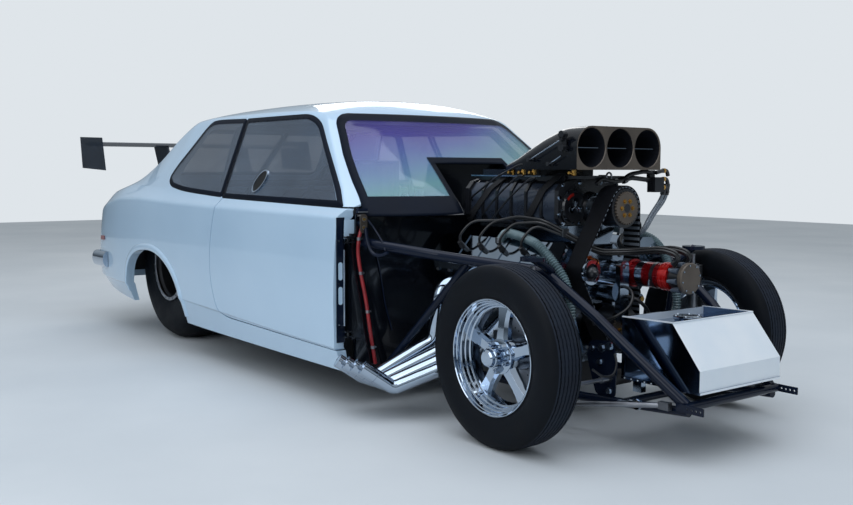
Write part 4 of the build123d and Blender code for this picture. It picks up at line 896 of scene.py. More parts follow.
for side, name in SIDES:
    parts = [(lathe(line, FRONT_AXLE, "y", side, n), 0) for line, n in ((RIM, 128), (HUB, 64), (CAP, 64))]
    for k, nut in enumerate(spots_round(FRONT_AXLE, STUD_R, 5, math.radians(126))):
        a = math.radians(90 + 72 * k)
        out, across = np.array([math.cos(a), math.sin(a)]), np.array([-math.sin(a), math.cos(a)])
        points = []
        for r, half, front, back in SPOKE:
            top, edge = half - SPOKE_BEVEL, front - SPOKE_EDGE
            for w, d in (
                (-half, back), (-half, edge), (-top, front), (top, front), (half, edge), (half, back)
            ):
                p = out * r + across * w
                points.append((ax + p[0], side * d, az + p[1]))
        parts.append(((points, bands(len(SPOKE), 6) + caps(len(SPOKE), 6)), 0))
        parts.append((rod(nut + (0, side * 0.606, 0), nut + (0, side * 0.632, 0), 0.0105, 6), 0))
        parts.append((rod(nut + (0, side * 0.632, 0), nut + (0, side * 0.639, 0), 0.0075, 16, 0.005), 0))
    parts.append((lathe(DISC, FRONT_AXLE, "y", side, 96), 1))
    # Near-black discs on the brake disc's face stand for its drilled holes: painted shade in the holes.
    for k in range(40):
        spot = spots_round(FRONT_AXLE, 0.080 + 0.016 * (k % 4), 40)[k]
        parts.append((rod(spot + (0, side * 0.4955, 0), spot + (0, side * 0.4965, 0), 0.0035, 10), 2))
    valve = spots_round((ax, side * 0.600, az), VALVE_R, 1, VALVE_TURN)[0]
    parts.append((rod(valve, valve + (0, side * 0.022, 0), 0.004, 12), 0))
    wheel = assemble(
        f"front_wheel_{name}_five_spoke", parts, [chrome, plain_steel, hose_rubber], 30, 0.0012, 2
    )
    put(wheel, f"wheel_front_{name}", "wheel_chrome", f"front_wheel_{name}")


# Rear tyres and wheels
# Wide slicks of soft rubber; a barrel and dished centre dark with painted shade, held by
# five nuts, and a zinc-plated clamping ring with its bolts round the edge.
REAR_AXLE = (-1.120, 0.0, 0.419)
SLICK = [
    (0.642, 0.2035), (0.652, 0.225), (0.6583, 0.262), (0.6597, 0.3115), (0.655, 0.352), (0.642, 0.380),
    (0.616, 0.400), (0.596, 0.4115), (0.578, 0.4172), (0.530, 0.4185),
]
SLICK_MIDDLE = (0.4525, 0.419)
SLICK_INNER = [(2 * SLICK_MIDDLE[0] - y, r) for y, r in SLICK]
BARREL = [
    (0.262, 0.1835), (0.262, 0.2005), (0.270, 0.2005), (0.280, 0.185), (0.618, 0.185), (0.632, 0.2005),
    (0.6455, 0.2010), (0.6455, 0.1920), (0.634, 0.1890), (0.622, 0.1760), (0.610, 0.1740), (0.480, 0.1740),
    (0.4725, 0.1660), (0.4705, 0.1300), (0.4780, 0.1000), (0.4780, 0.0650), (0.4990, 0.0600),
    (0.5000, 0.0010), (0.4400, 0.0010), (0.4400, 0.0900), (0.4530, 0.1760), (0.274, 0.1760),
]
REAR_BOLTS = (  # how many, on which radius, from and to which y, size, sides, finish
    (24, 0.1912, 0.6540, 0.6585, 0.0052, 6, 1),
    (5, 0.0570, 0.4770, 0.5060, 0.0110, 6, 1),
    (1, 0.0, 0.4990, 0.5200, 0.0300, 32, 0),
)
RING = [
    (0.6458, 0.1810), (0.6458, 0.2018), (0.6525, 0.2018), (0.6548, 0.1985), (0.6548, 0.1840), (0.6530, 0.1810)
]
for side, name in SIDES:
    tyre = lathe(SLICK_INNER[::-1] + [SLICK_MIDDLE] + SLICK[::-1], REAR_AXLE, "y", side, 160)
    slick = assemble(f"rear_tyre_{name}_slick", [(tyre, 0)], [tyre_rubber], 40)
    put(slick, "wheels_rear", "tyre_rubber", f"rear_tyre_{name}")
    parts = [(lathe(BARREL, REAR_AXLE, "y", side, 128), 0), (lathe(RING, REAR_AXLE, "y", side, 128), 1)]
    for count, r, inner, outer, size, n, finish in REAR_BOLTS:
        for spot in spots_round(REAR_AXLE, r, count, 0.3):
            parts.append((rod(spot + (0, side * inner, 0), spot + (0, side * outer, 0), size, n), finish))
    wheel = assemble(f"rear_wheel_{name}_dished", parts, [rear_rim_painted_shade, plain_steel], 30, 0.0012, 2)
    put(wheel, "wheels_rear", "rear_rim", f"rear_wheel_{name}")


# Injector hat
# Black painted scoop bolted on the blower, its sections growing to the front;
# the taupe face has three throats nearly touching, each cell a ring of faces
# from the throat's edge out to the face's outline along the ray at each angle.
def block(centre, size, turn=None):
    """Box with its centre, its three sizes and, where it is turned, a rotation matrix."""
    corners = np.array([
        (x, y, z) for x in (-0.5, 0.5) for y in (-0.5, 0.5) for z in (-0.5, 0.5)
    ]) * np.array(size)
    if turn is not None:
        corners = corners @ np.array(turn).T
    return corners + np.array(centre), [
        (0, 1, 3, 2), (4, 6, 7, 5), (0, 4, 5, 1), (2, 3, 7, 6), (0, 2, 6, 4), (1, 5, 7, 3)
    ]


def upright(a, b, depth):
    """Lays a side-view outline (x, z) at y = depth."""
    return (a, depth, b)


def facing(a, b, depth):
    """Lays a front-view outline (y, z) at x = depth."""
    return (depth, a, b)


def lying(a, b, depth):
    """Lays a flat outline (y, x) at z = depth."""
    return (b, a, depth)


def slab(outline, back, front, lay):
    """Plate with a flat outline between two depths; lay(a, b, depth) sets each point."""
    n = len(outline)
    points = [lay(a, b, d) for d in (back, front) for a, b in outline]
    return np.array(points), bands(2, n) + caps(2, n)


def pipe(route, r, n=14, bend=0.03, steps=6, ribs=None):
    """Hose or tube along a route with rounded corners; ribs = (pitch, depth) waves its radius."""
    line = rounded(
        [np.array(p, float) for p in route], bend, steps
    ) if len(route) > 2 else np.array(route, float)
    if ribs:
        far = np.concatenate([[0], np.cumsum(np.linalg.norm(np.diff(line, axis=0), axis=1))])
        place = np.arange(0, far[-1], ribs[0] / 4)
        line = np.stack([np.interp(place, far, line[:, k]) for k in range(3)], 1)
    ahead = np.gradient(line, axis=0)
    ahead /= np.linalg.norm(ahead, axis=1)[:, None] + 1e-12
    _, u, _ = frame_of(ahead[0])
    turn = np.linspace(0, 2 * math.pi, n, endpoint=False)
    points = []
    for k, (p, t) in enumerate(zip(line, ahead)):
        u = u - t * u.dot(t)
        u /= np.linalg.norm(u)
        v = np.cross(t, u)
        size = r * (1 + (ribs[1] / r) * math.sin(k * math.pi / 2) if ribs else 1)
        points.append(p + size * (np.outer(np.cos(turn), u) + np.outer(np.sin(turn), v)))
    return np.concatenate(points), bands(len(points), n) + caps(len(points), n)


# Taupe anodised plate: warm grey, satin.
taupe_face = finish_of("taupe_anodised_face", "6b6157", "585049", 0.38, metal=0.4, scale=9.0, relief=0.1)
# Painted shade in the throats and in the header mouths: near-black where little light reaches.
throat_painted_shade = finish_of("throat_painted_shade", "171a22", "0f1117", 0.5, scale=6.0, shine=0.3)
# Turned brass fittings: warm and bright.
brass = finish_of("brass_fitting", "c9a05a", "a8803e", 0.22, metal=1.0, scale=30.0, relief=0.05)
HAT_ROWS = np.array(
    [  # x, half width, top and radius of the upper corners
        (1.290, 0.214, 1.000, 0.012),
        (1.350, 0.222, 1.024, 0.024),
        (1.440, 0.230, 1.072, 0.044),
        (1.530, 0.235, 1.116, 0.062),
        (1.610, 0.236, 1.142, 0.076),
        (1.704, 0.236, 1.145, 0.079),
    ]
)
HAT_FOOT, THROAT_Z, THROAT_R, THROAT_PITCH, FACE_X, BACK_X = 0.981, 1.0635, 0.0735, 0.157, 1.705, 1.532


def hat_outline(x):
    """Section of the scoop at x: foot corners, upright sides, and quarter arcs of the table's radius."""
    half, top, r = (between(HAT_ROWS, k, x) for k in (1, 2, 3))
    turn = np.linspace(0, math.pi / 2, 9)
    right = [(half, HAT_FOOT)] + [(half - r + r * math.cos(t), top - r + r * math.sin(t)) for t in turn]
    return right + [(-y, z) for y, z in right[::-1]]


def ray_out(centre, angle, outline):
    """Where the ray from the centre at the angle meets a closed outline: the least positive crossing."""
    d, best = np.array([math.cos(angle), math.sin(angle)]), 9.0
    for a, b in zip(outline, outline[1:] + outline[:1]):
        a, edge = np.array(a) - centre, np.array(b) - np.array(a)
        bottom = d[0] * edge[1] - d[1] * edge[0]
        if abs(bottom) > 1e-12:
            t, s = (a[0] * edge[1] - a[1] * edge[0]) / bottom, (a[0] * d[1] - a[1] * d[0]) / bottom
            if t > 0 and -1e-9 <= s <= 1 + 1e-9:
                best = min(best, t)
    return centre + d * best


stations = np.linspace(HAT_ROWS[0, 0], HAT_ROWS[-1, 0], 22)
outline = hat_outline(HAT_ROWS[-1, 0])
n = len(outline)
points = [(x, y, z) for x in stations for y, z in hat_outline(x)]
hat_parts = [((points, bands(len(stations), n) + [tuple(range(n))]), 0)]
turns = np.linspace(0, 2 * math.pi, 96, endpoint=False)
for cell in (-1, 0, 1):
    centre = np.array([cell * THROAT_PITCH, THROAT_Z])
    low, high = (
        centre[0] - THROAT_PITCH / 2 if cell > -1 else -9, centre[0] + THROAT_PITCH / 2 if cell < 1 else 9
    )
    edges = [(min(max(y, low), high), z) for y, z in outline]
    outer = [ray_out(centre, t, edges) for t in turns]
    border = np.array(outer) - centre
    circle = np.stack([np.cos(turns), np.sin(turns)], 1)
    rows = (
        (FACE_X - 0.001, border),
        (FACE_X, border * 0.9985),
        (FACE_X, circle * (THROAT_R + 0.002)),
        (FACE_X - 0.003, circle * THROAT_R),
        (1.560, circle * (THROAT_R - 0.004)),
        (BACK_X, circle * (THROAT_R - 0.014)),
    )
    points = [(x, y, z) for x, ring in rows for y, z in centre + ring]
    m = len(turns)
    # The throats' walls and floor take the painted shade.
    for start, stop, finish in ((0, 3, 1), (3, 5, 2)):
        bottom = [tuple(range(5 * m, 6 * m))] if stop == 5 else []
        hat_parts.append(((points, bands(stop - start + 1, m, first=start * m) + bottom), finish))
    hat_parts.append((
        block((1.680, centre[0] - 0.12 * THROAT_R, THROAT_Z), (0.012, 1.70 * THROAT_R, 0.0026)), 3
    ))
hat_parts += [
    (block((1.250, 0, 0.969), (0.350, 0.300, 0.024)), 0),
    (block((1.210, 0, 0.9545), (0.430, 0.300, 0.005)), 4),
]
for side in (-1, 1):
    for z in (1.063, 1.112):
        hat_parts.append((rod((1.645, side * 0.238, z), (1.645, side * 0.262, z), 0.014, 24), 5))
    hat_parts.append((
        slab(
            [(1.630, 1.050), (1.660, 1.050), (1.657, 1.122), (1.636, 1.122)],
            side * 0.243, side * 0.248, upright,
        ),
        5,
    ))
    hat_parts.append((pipe([(1.643, side * 0.256, 1.094), (1.468, side * 0.250, 1.019)], 0.0028), 4))
    hat_parts.append((pipe([(1.639, side * 0.252, 1.033), (1.575, side * 0.248, 1.003)], 0.0028), 4))
    for x, z in ((1.468, 1.019), (1.575, 1.003), (1.643, 1.094)):
        hat_parts.append((rod((x, side * 0.236, z), (x, side * 0.262, z), 0.009, 6), 5))
    for x in (1.317, 1.377, 1.438, 1.654) if side < 0 else (1.317,):
        hat_parts.append((rod((x, side * 0.200, 0.960), (x, side * 0.200, 0.982), 0.010, 6), 6))
        hat_parts.append((rod((x, side * 0.200, 0.962), (x, side * 0.226, 0.970), 0.006, 12), 6))
hat = assemble(
    "injector_hat_scoop", hat_parts,
    [black_paint, taupe_face, throat_painted_shade, chrome, billet, blower_black, brass],
    40,
)
put(hat, "chassis", slot_of["injector_hat"], "injector_hat")


# Blower trim
# Slate-blue panels between the case's ribs, a painted soft reflection of the sky on
# the black case, woven straps that hold it down over them, bolts on the end plate,
# and the round bearing covers with a red enamel sector and a chrome three-lobed boss.

# Slate-blue panels: a painted soft reflection of the sky on the black case.
panel_sky_sheen = finish_of(
    "blower_panel_painted_sky_sheen", "3b4556", "2d3543", 0.28, metal=0.3, coat=0.6, scale=7.0, relief=0.06
)
# Woven strap: matt with a coarse weave.
strap_black = finish_of("woven_black_strap", "15161b", "0e0f13", 0.8, scale=40.0, relief=0.5, grain=1500.0)
# Red enamel: one glossy red patch on the cover.
red_paint = finish_of("red_enamel", "b3261c", "8f1a12", 0.3, coat=0.5, scale=12.0)
COVER_X, COVER_Z, STRAP_HALF = 1.568, 0.837, 0.019
panels, straps, front_bits = [], [], []
for side in (-1, 1):
    for low, high in (
        (1.022, 1.088), (1.108, 1.176), (1.196, 1.264), (1.284, 1.352), (1.372, 1.440), (1.460, 1.524)
    ):
        wall = [
            (0.1505, 0.768), (0.1515, 0.779), (0.1695, 0.801), (0.1695, 0.890), (0.1415, 0.925),
            (0.1395, 0.9235), (0.1660, 0.889), (0.1660, 0.802), (0.1480, 0.780),
        ]
        panels.append((slab(wall, low, high, lambda a, b, d, s=side: (d, s * a, b)), 0))
    for top, foot in ((1.202, 0.992), (1.501, 1.353)):
        line = [
            (0.120, 0.9585, 1.0), (0.146, 0.934, 0.90), (0.176, 0.897, 0.74), (0.176, 0.797, 0.24),
            (0.158, 0.765, 0.04), (0.134, 0.745, 0.0),
        ]
        points = []
        for y, z, share in line:
            x = foot + (top - foot) * share
            points += [(x + w, side * y, z) for w in (-STRAP_HALF, STRAP_HALF)]
            points += [(x + w, side * (y + 0.003), z + 0.002) for w in (STRAP_HALF, -STRAP_HALF)]
        straps.append(((points, bands(len(line), 4) + caps(len(line), 4)), 0))
    hub = side * 0.100
    for spot in spots_round((0, hub, COVER_Z), 0.0655, 10, 0.2, "x"):
        front_bits.append((rod(spot + (1.557, 0, 0), spot + (1.562, 0, 0), 0.0042, 6), 0))
    for centre in spots_round((COVER_X, hub, COVER_Z), 0.022, 3, math.pi / 2, "x"):
        front_bits.append((rod(centre - (0.001, 0, 0), centre + (0.003, 0, 0), 0.0125, 28), 0))
        front_bits.append((rod((COVER_X, hub, COVER_Z), centre, 0.0062, 12), 0))
    edges = ((0.054, np.linspace(1.75, 2.55, 9)), (0.044, np.linspace(2.55, 1.75, 9)))
    sector = [(hub + r * math.cos(a), COVER_Z + r * math.sin(a)) for r, turn in edges for a in turn]
    front_bits.append((slab(sector, 1.5675, 1.5695, facing), 1))
    for y, z in (
        (0.152, 0.921), (0.060, 0.930), (0.172, 0.872), (0.172, 0.806), (0.150, 0.772), (0.060, 0.773)
    ):
        front_bits.append((rod((1.5515, side * y, z), (1.5575, side * y, z), 0.0058, 6), 0))
        front_bits.append((rod((1.5515, side * y, z), (1.5530, side * y, z), 0.0085, 20), 0))
front_bits.append((
    lathe(
        [(1.5810, 0.0545), (1.5870, 0.0545), (1.5870, 0.0420), (1.5810, 0.0420)], (0, 0, 0.835), "x", 1, 64
    ),
    0,
))
put(assemble("blower_side_panels", panels, [panel_sky_sheen], 40), "chassis", slot_of["blower"])
put(assemble("blower_straps", straps, [strap_black], 60), "chassis", slot_of["blower"])
put(assemble("blower_front_bolts", front_bits, [chrome, red_paint], 40), "chassis", slot_of["blower"])


# Blower belt and its pulleys
# A rubber band with lighter grey teeth inside. Its line is the hull of the three
# pulleys' circles, walked at an even pitch; a tooth stands at every fourth
# step, two steps wide. The pulleys are coated alloy with taupe toothed rims.
CIRCLES = [(0.0, 0.835, 0.078), (-0.187, 0.600, 0.040), (0.0, 0.370, 0.088)]
BELT_T, TOOTH, BELT_X, TOOTH_PITCH = 0.009, 0.0045, (1.655, 1.735), 0.0105
RIM_TOP, RIM_FOOT = 0.0635, 0.0575


def hull_of(points):
    """Convex hull of plane points, going round anticlockwise: the sorted points are walked both ways."""

    def bends_right(a, b, c):
        return (b[0] - a[0]) * (c[1] - a[1]) <= (b[1] - a[1]) * (c[0] - a[0])

    def chain(some):
        kept = []
        for p in some:
            while len(kept) > 1 and bends_right(kept[-2], kept[-1], p):
                kept.pop()
            kept.append(p)
        return kept[:-1]

    ordered = sorted(points)
    return np.array(chain(ordered) + chain(ordered[::-1]))


turn = np.linspace(0, 2 * math.pi, 180, endpoint=False)
round_pulleys = [
    (y + (r + BELT_T) * math.cos(t), z + (r + BELT_T) * math.sin(t)) for y, z, r in CIRCLES for t in turn
]
loop = hull_of(round_pulleys)
loop = np.concatenate([loop, loop[:1]])
far = np.concatenate([[0], np.cumsum(np.linalg.norm(np.diff(loop, axis=0), axis=1))])
count = int(far[-1] / TOOTH_PITCH / 2) * 4
step = np.linspace(0, far[-1], count, endpoint=False)
belt_line = np.stack([np.interp(step, far, loop[:, k]) for k in (0, 1)], 1)
ahead = np.roll(belt_line, -1, 0) - np.roll(belt_line, 1, 0)
inwards = np.stack([-ahead[:, 1], ahead[:, 0]], 1) / np.linalg.norm(ahead, axis=1)[:, None]
inner = belt_line + inwards * (BELT_T - TOOTH)
points = [(x, y, z) for x in BELT_X for line in (belt_line, inner) for y, z in line]
faces = []
for k in range(count):
    j = (k + 1) % count
    faces += [(k, j, 2 * count + j, 2 * count + k), (count + k, count + j, 3 * count + j, 3 * count + k)]
    faces += [(k, j, count + j, count + k), (2 * count + k, 2 * count + j, 3 * count + j, 3 * count + k)]
belt = [((points, faces), 0)]
teeth, faces = [], []
for k in range(0, count - 2, 4):
    foot, tip = BELT_T - TOOTH - 0.0005, BELT_T - 0.0005
    side_view = [
        belt_line[i] + inwards[i] * deep for i, deep in ((k, foot), (k + 2, foot), (k + 2, tip), (k, tip))
    ]
    first = len(teeth)
    teeth += [(x, y, z) for x in BELT_X for y, z in side_view]
    faces += [
        tuple(first + i for i in face)
        for face in ((0, 1, 2, 3), (7, 6, 5, 4), (0, 4, 5, 1), (1, 5, 6, 2), (2, 6, 7, 3), (3, 7, 4, 0))
    ]
belt.append(((teeth, faces), 1))
# Lighter grey teeth, so that they stand out from the band.
tooth_grey = finish_of("grey_belt_teeth", "6a727c", "4d545d", 0.5, scale=30.0, relief=0.2)
put(
    assemble("blower_belt_toothed", belt, [belt_rubber, tooth_grey], 25),
    "chassis",
    slot_of["blower_belt"],
    "blower_belt",
)
drive = []
for y, z, r in (CIRCLES[0], CIRCLES[2]):
    spot = (0, y, z)
    drive += [
        (
            lathe([(1.655, 0.034), (1.655, r - 0.003), (1.737, r - 0.003), (1.737, 0.034)], spot, "x", 1, 96),
            2,
        ),
        (lathe([(1.645, 0.0), (1.645, r * 0.45), (1.656, r * 0.45), (1.656, 0.0)], spot, "x", 1, 48), 2),
    ]
    turn = np.linspace(0, 2 * math.pi, 120, endpoint=False)
    edge = np.where(np.arange(120) % 4 < 2, RIM_TOP, RIM_FOOT)
    ring = [(y + e * math.cos(t), z + e * math.sin(t)) for e, t in zip(edge, turn)]
    drive.append((slab(ring, 1.7365, 1.7450, facing), 0))
    drive.append((rod((1.7455, y, z), (1.7460, y, z), 0.0165, 40), 2))
    for bolt in spots_round(spot, 0.030, 6, 0.0, "x"):
        drive.append((rod(bolt + (1.7448, 0, 0), bolt + (1.7468, 0, 0), 0.0088, 24), 1))
        drive.append((rod(bolt + (1.7460, 0, 0), bolt + (1.7508, 0, 0), 0.0066, 6), 1))
y, z, r = CIRCLES[1]
drive.append((
    lathe(
        [(1.631, 0.0), (1.631, 0.018), (1.653, 0.018), (1.653, 0.0395), (1.737, 0.0395), (1.737, 0.0)],
        (0, y, z),
        "x", 1, 64,
    ),
    2,
))
drive.append((
    lathe(
        [(1.7365, 0.0470), (1.7450, 0.0470), (1.7450, 0.0330), (1.7400, 0.0310), (1.7365, 0.0310)],
        (0, y, z),
        "x", 1, 80,
    ),
    3,
))
drive.append((
    lathe(
        [
            (1.7370, 0.0), (1.7370, 0.0245), (1.7420, 0.0245), (1.7560, 0.0200), (1.7620, 0.0125),
            (1.7740, 0.0090), (1.7750, 0.0),
        ],
        (0, y, z),
        "x", 1, 40,
    ),
    2,
))
put(
    assemble("blower_drive_pulleys", drive, [taupe_face, brass, blower_black, chrome], 30, 0.0006),
    "chassis",
    slot_of["blower_drive"],
    "blower_drive",
)


# Magneto
# Red anodised body with a billet band and a black clamp, a bright collar with
# ribs, rubber boots round the neck and a taupe cap held by small screws.

# Bright red collar: lighter and glossier than the body.
bright_red = finish_of(
    "bright_red_anodised_collar", "d01c1a", "b01514", 0.2, metal=0.5, coat=0.5, scale=10.0, relief=0.04
)
# Rubber boots: blue-grey and dull.
boot_grey = finish_of("blue_grey_boot_rubber", "55606e", "434d5a", 0.5, scale=20.0, relief=0.2)
MAG, BOOT_R = (0.0, 0.045, 0.586), 0.0500
mag = [
    (
        lathe(
            [
                (1.740, 0.0), (1.740, 0.0500), (1.744, 0.0540), (1.752, 0.0540), (1.7535, 0.0480),
                (1.8980, 0.0480), (1.9000, 0.0),
            ],
            MAG, "x", 1, 80,
        ),
        0,
    ),
    (lathe([(1.786, 0.0470), (1.786, 0.0486), (1.820, 0.0486), (1.820, 0.0470)], MAG, "x", 1, 80), 1),
    (lathe([(1.858, 0.0470), (1.858, 0.0498), (1.874, 0.0498), (1.874, 0.0470)], MAG, "x", 1, 80), 2),
    (block((1.866, -0.004, 0.560), (0.014, 0.012, 0.018)), 2),
    (rod((1.866, -0.010, 0.548), (1.866, -0.010, 0.574), 0.0026, 12), 1),
    (
        lathe(
            [
                (1.900, 0.0), (1.900, 0.0530), (1.9100, 0.0530), (1.9110, 0.0515), (1.9160, 0.0515),
                (1.9170, 0.0530), (1.9260, 0.0530), (1.9270, 0.0515), (1.9320, 0.0515), (1.9330, 0.0530),
                (1.9400, 0.0530), (1.9420, 0.0),
            ],
            MAG, "x", 1, 80,
        ),
        3,
    ),
    (lathe([(1.941, 0.0), (1.941, 0.0430), (2.000, 0.0430), (2.000, 0.0)], MAG, "x", 1, 64), 2),
    (
        lathe(
            [
                (1.996, 0.0), (1.996, 0.0560), (2.000, 0.0585), (2.012, 0.0585), (2.0160, 0.0550),
                (2.0175, 0.0),
            ],
            MAG, "x", 1, 80,
        ),
        4,
    ),
]
for spot in spots_round(MAG, BOOT_R, 8, 0.2, "x"):
    spoke = (spot - MAG) / BOOT_R
    mag.append((rod(spot + (2.0140, 0, 0), spot + (2.0185, 0, 0), 0.0036, 12), 1))
    mag.append((rod(spot + (1.9900, 0, 0), spot + (1.9640, 0, 0), 0.0112, 20, 0.0085), 5))
    mag.append((rod(spot + (1.9640, 0, 0), spot + spoke * 0.006 + (1.9500, 0, 0), 0.0085, 16, 0.006), 5))
put(
    assemble(
        "magneto_with_cap", mag, [red_anodised, billet, blower_black, bright_red, taupe_face, boot_grey], 35
    ),
    "chassis",
    slot_of["magneto"],
    "magneto",
)


# Rack bellows
# The rubber boots that seal the steering rack: the CAD rack's faces beyond
# the ends of its housing take the hose rubber.
BELLOWS_Y = 0.1505
rack = frame["nodes"]["steering_rack"]
rack.data.materials.append(hose_rubber)
rack.data.polygons.foreach_set(
    "material_index", [int(abs(f.center.y) > BELLOWS_Y) for f in rack.data.polygons]
)


# Hoses and leads
# Ribbed breathers from the rocker covers, eight plug leads that share a route
# through the belt's loop and fall one by one to the covers, the red fuel hose
# with its clips, and a braided pair from the fittings at the hat's left.

# Ribbed plastic hose: green-grey with a faint gloss.
breather_green = finish_of(
    "ribbed_green_grey_hose", "6c8288", "52666c", 0.3, coat=0.2, scale=25.0, relief=0.1
)
# Silicone leads: black with a faint gloss.
lead_black = finish_of("black_lead_rubber", "16171a", "101114", 0.4, coat=0.2, scale=30.0, relief=0.1)
# Red rubber hose: a dull red line down the car's corner.
red_hose = finish_of("red_rubber_hose", "a3272c", "7f1b20", 0.35, coat=0.2, scale=22.0, relief=0.1)
# Steel braid: bright threads over dark gaps, drawn 1.1 mm wide so that they show.
braid = finish_of(
    "braided_steel_hose", "9aa2ab", "767e87", 0.35, metal=0.9, scale=160.0, relief=0.8, grain=900.0
)
BREATHER = [
    (1.345, 0.288, 0.700), (1.385, 0.296, 0.738), (1.500, 0.308, 0.722), (1.600, 0.326, 0.702),
    (1.672, 0.318, 0.642), (1.714, 0.300, 0.585), (1.747, 0.300, 0.508), (1.755, 0.302, 0.420),
    (1.694, 0.309, 0.330),
]
LEADS = {
    -1: [
        (1.992, 0.010, 0.672), (1.930, -0.010, 0.690), (1.800, -0.034, 0.674), (1.694, -0.096, 0.668),
        (1.628, -0.192, 0.730), (1.560, -0.262, 0.782), (1.412, -0.262, 0.790), (1.290, -0.258, 0.776),
        (1.180, -0.262, 0.760),
    ],
    1: [
        (1.992, 0.074, 0.672), (1.930, 0.060, 0.690), (1.800, 0.040, 0.676), (1.700, 0.030, 0.668),
        (1.636, 0.076, 0.700), (1.588, 0.205, 0.762), (1.480, 0.262, 0.786), (1.290, 0.258, 0.776),
        (1.180, 0.262, 0.760),
    ],
}
COVER_SPOT, PORT_X, PORT_PITCH, LEAD_SPREAD = (0.320, 0.664), 1.150, 0.123, 0.0080
hoses = []
for side in (-1, 1):
    hoses.append((pipe([(x, side * y, z) for x, y, z in BREATHER], 0.0158, 20, 0.05, 8, (0.010, 0.0024)), 0))
    hoses.append((rod((1.345, side * 0.288, 0.690), (1.345, side * 0.288, 0.712), 0.021, 24), 3))
    for k in range(4):
        port, turn = PORT_X + PORT_PITCH * k, math.pi / 2 * k
        shift = LEAD_SPREAD * np.array([0, math.cos(turn), math.sin(turn)])
        route = [np.array(p) + shift for p in LEADS[side] if p[0] > port + 0.055]
        start = np.array((1.962, 0.045 + side * (0.030 + 0.006 * k), 0.628 + 0.004 * k))
        fall = [(port + 0.034, side * 0.300, 0.772), (port + 0.004, side * 0.342, 0.716)]
        fall.append((port, side * (COVER_SPOT[0] + 0.016), COVER_SPOT[1] + 0.022))
        route = [start] + route + fall
        hoses.append((pipe(route, 0.0053, 10, 0.035, 6), 1))
        foot = np.array((port, side * COVER_SPOT[0], COVER_SPOT[1]))
        hoses.append((rod(foot + (0, side * 0.020, 0.022), foot, 0.0095, 18, 0.0135), 1))
    hoses.append((block((1.622, side * 0.205 if side < 0 else 0.110, 0.742), (0.006, 0.030, 0.030)), 3))
hoses.append((
    pipe(
        [
            (0.948, -0.674, 0.776), (0.955, -0.713, 0.675), (0.955, -0.698, 0.573), (0.955, -0.669, 0.448),
            (0.955, -0.650, 0.323), (0.950, -0.620, 0.180),
        ],
        0.0075, 14, 0.05,
    ),
    2,
))
for y, z in ((-0.704, 0.700), (-0.694, 0.560), (-0.662, 0.400), (-0.636, 0.250)):
    hoses.append((rod((0.955, y, z - 0.006), (0.955, y, z + 0.006), 0.0098, 18), 3))
    hoses.append((rod((0.939, y + 0.012, z), (0.958, y + 0.012, z), 0.0042, 6), 3))
for shift in (0.0, 0.026):
    hoses.append((
        pipe(
            [
                (1.660, 0.322 + shift * 0.6, 0.905), (1.650, 0.310 + shift, 0.860),
                (1.640, 0.262 + shift * 0.7, 0.800), (1.636, 0.220 + shift * 0.5, 0.735),
                (1.600, 0.200 + shift * 0.5, 0.712),
            ],
            0.0078, 14, 0.03,
        ),
        4,
    ))
    hoses.append((
        rod((1.660, 0.322 + shift * 0.6, 0.925), (1.654, 0.316 + shift * 0.8, 0.880), 0.0115, 6), 5
    ))
hoses.append((block((1.662, 0.262, 0.922), (0.040, 0.056, 0.060)), 5))
hoses.append((block((1.650, 0.245, 0.955), (0.018, 0.030, 0.050)), 5))
for y, z in ((0.300, 0.982), (0.300, 0.948), (0.300, 0.914)):
    hoses.append((
        pipe(
            [
                (1.662, 0.262, z - 0.012),
                (1.664, y, z - 0.004),
                (1.664, y + 0.026, z - 0.002),
                (1.663, y + 0.036, z - 0.024),
            ],
            0.0082, 12, 0.012,
        ),
        5,
    ))
    hoses.append((rod((1.664, y + 0.002, z - 0.004), (1.664, y + 0.012, z - 0.003), 0.0105, 6), 6))
hoses.append((
    pipe(
        [
            (1.650, -0.070, 0.926), (1.650, -0.045, 0.946), (1.650, -0.012, 0.940), (1.650, 0.030, 0.936),
            (1.650, 0.072, 0.937), (1.650, 0.119, 0.964), (1.652, 0.204, 0.975), (1.656, 0.240, 0.970),
        ],
        0.0085, 12, 0.02,
    ),
    1,
))
hoses.append((
    pipe(
        [(1.650, 0.085, 0.936), (1.650, 0.120, 0.950), (1.650, 0.156, 0.948), (1.652, 0.240, 0.940)],
        0.0095, 12, 0.02,
    ),
    1,
))
hoses.append((rod((1.650, 0.080, 0.937), (1.650, 0.100, 0.943), 0.0130, 6), 5))
hoses.append((rod((1.650, -0.022, 0.934), (1.650, 0.020, 0.934), 0.0050, 10), 3))
eye = [
    (y * 0.014, z * 0.014)
    for y, z in ((math.cos(t), math.sin(t)) for t in np.linspace(0, 2 * math.pi, 24, endpoint=False))
]
hoses.append((pipe([(1.650, -0.001 + y, 0.956 + z) for y, z in eye + eye[:1]], 0.0038, 10, 0.004), 3))
for foot, mouth in (
    ((1.389, 1.003), (1.049, 0.861)), ((1.380, 0.959), (1.120, 0.786)), ((1.450, 0.951), (1.172, 0.762))
):
    mid = ((foot[0] + mouth[0]) / 2, (foot[1] + mouth[1]) / 2 + 0.012)
    hoses.append((
        pipe(
            [
                (foot[0] + 0.02, -0.222, foot[1] - 0.004), (foot[0], -0.226, foot[1]),
                (mid[0], -0.212, mid[1]), (mouth[0], -0.196, mouth[1]),
                (mouth[0] - 0.02, -0.170, mouth[1] - 0.012),
            ],
            0.0042, 10, 0.05,
        ),
        1,
    ))
put(
    assemble(
        "hoses_and_leads", hoses,
        [breather_green, lead_black, red_hose, plain_steel, braid, blower_black, brass],
        45,
    ),
    "chassis",
    slot_of["hoses"],
    "hoses",
)


# Nose tank
# Folded alloy sheet: the faces that look forward are satin and near-white, painted light
# of the sky; the rest mirror-polished and dark blue, a painted reflection; lips, a filler
# cap and rivets are added.

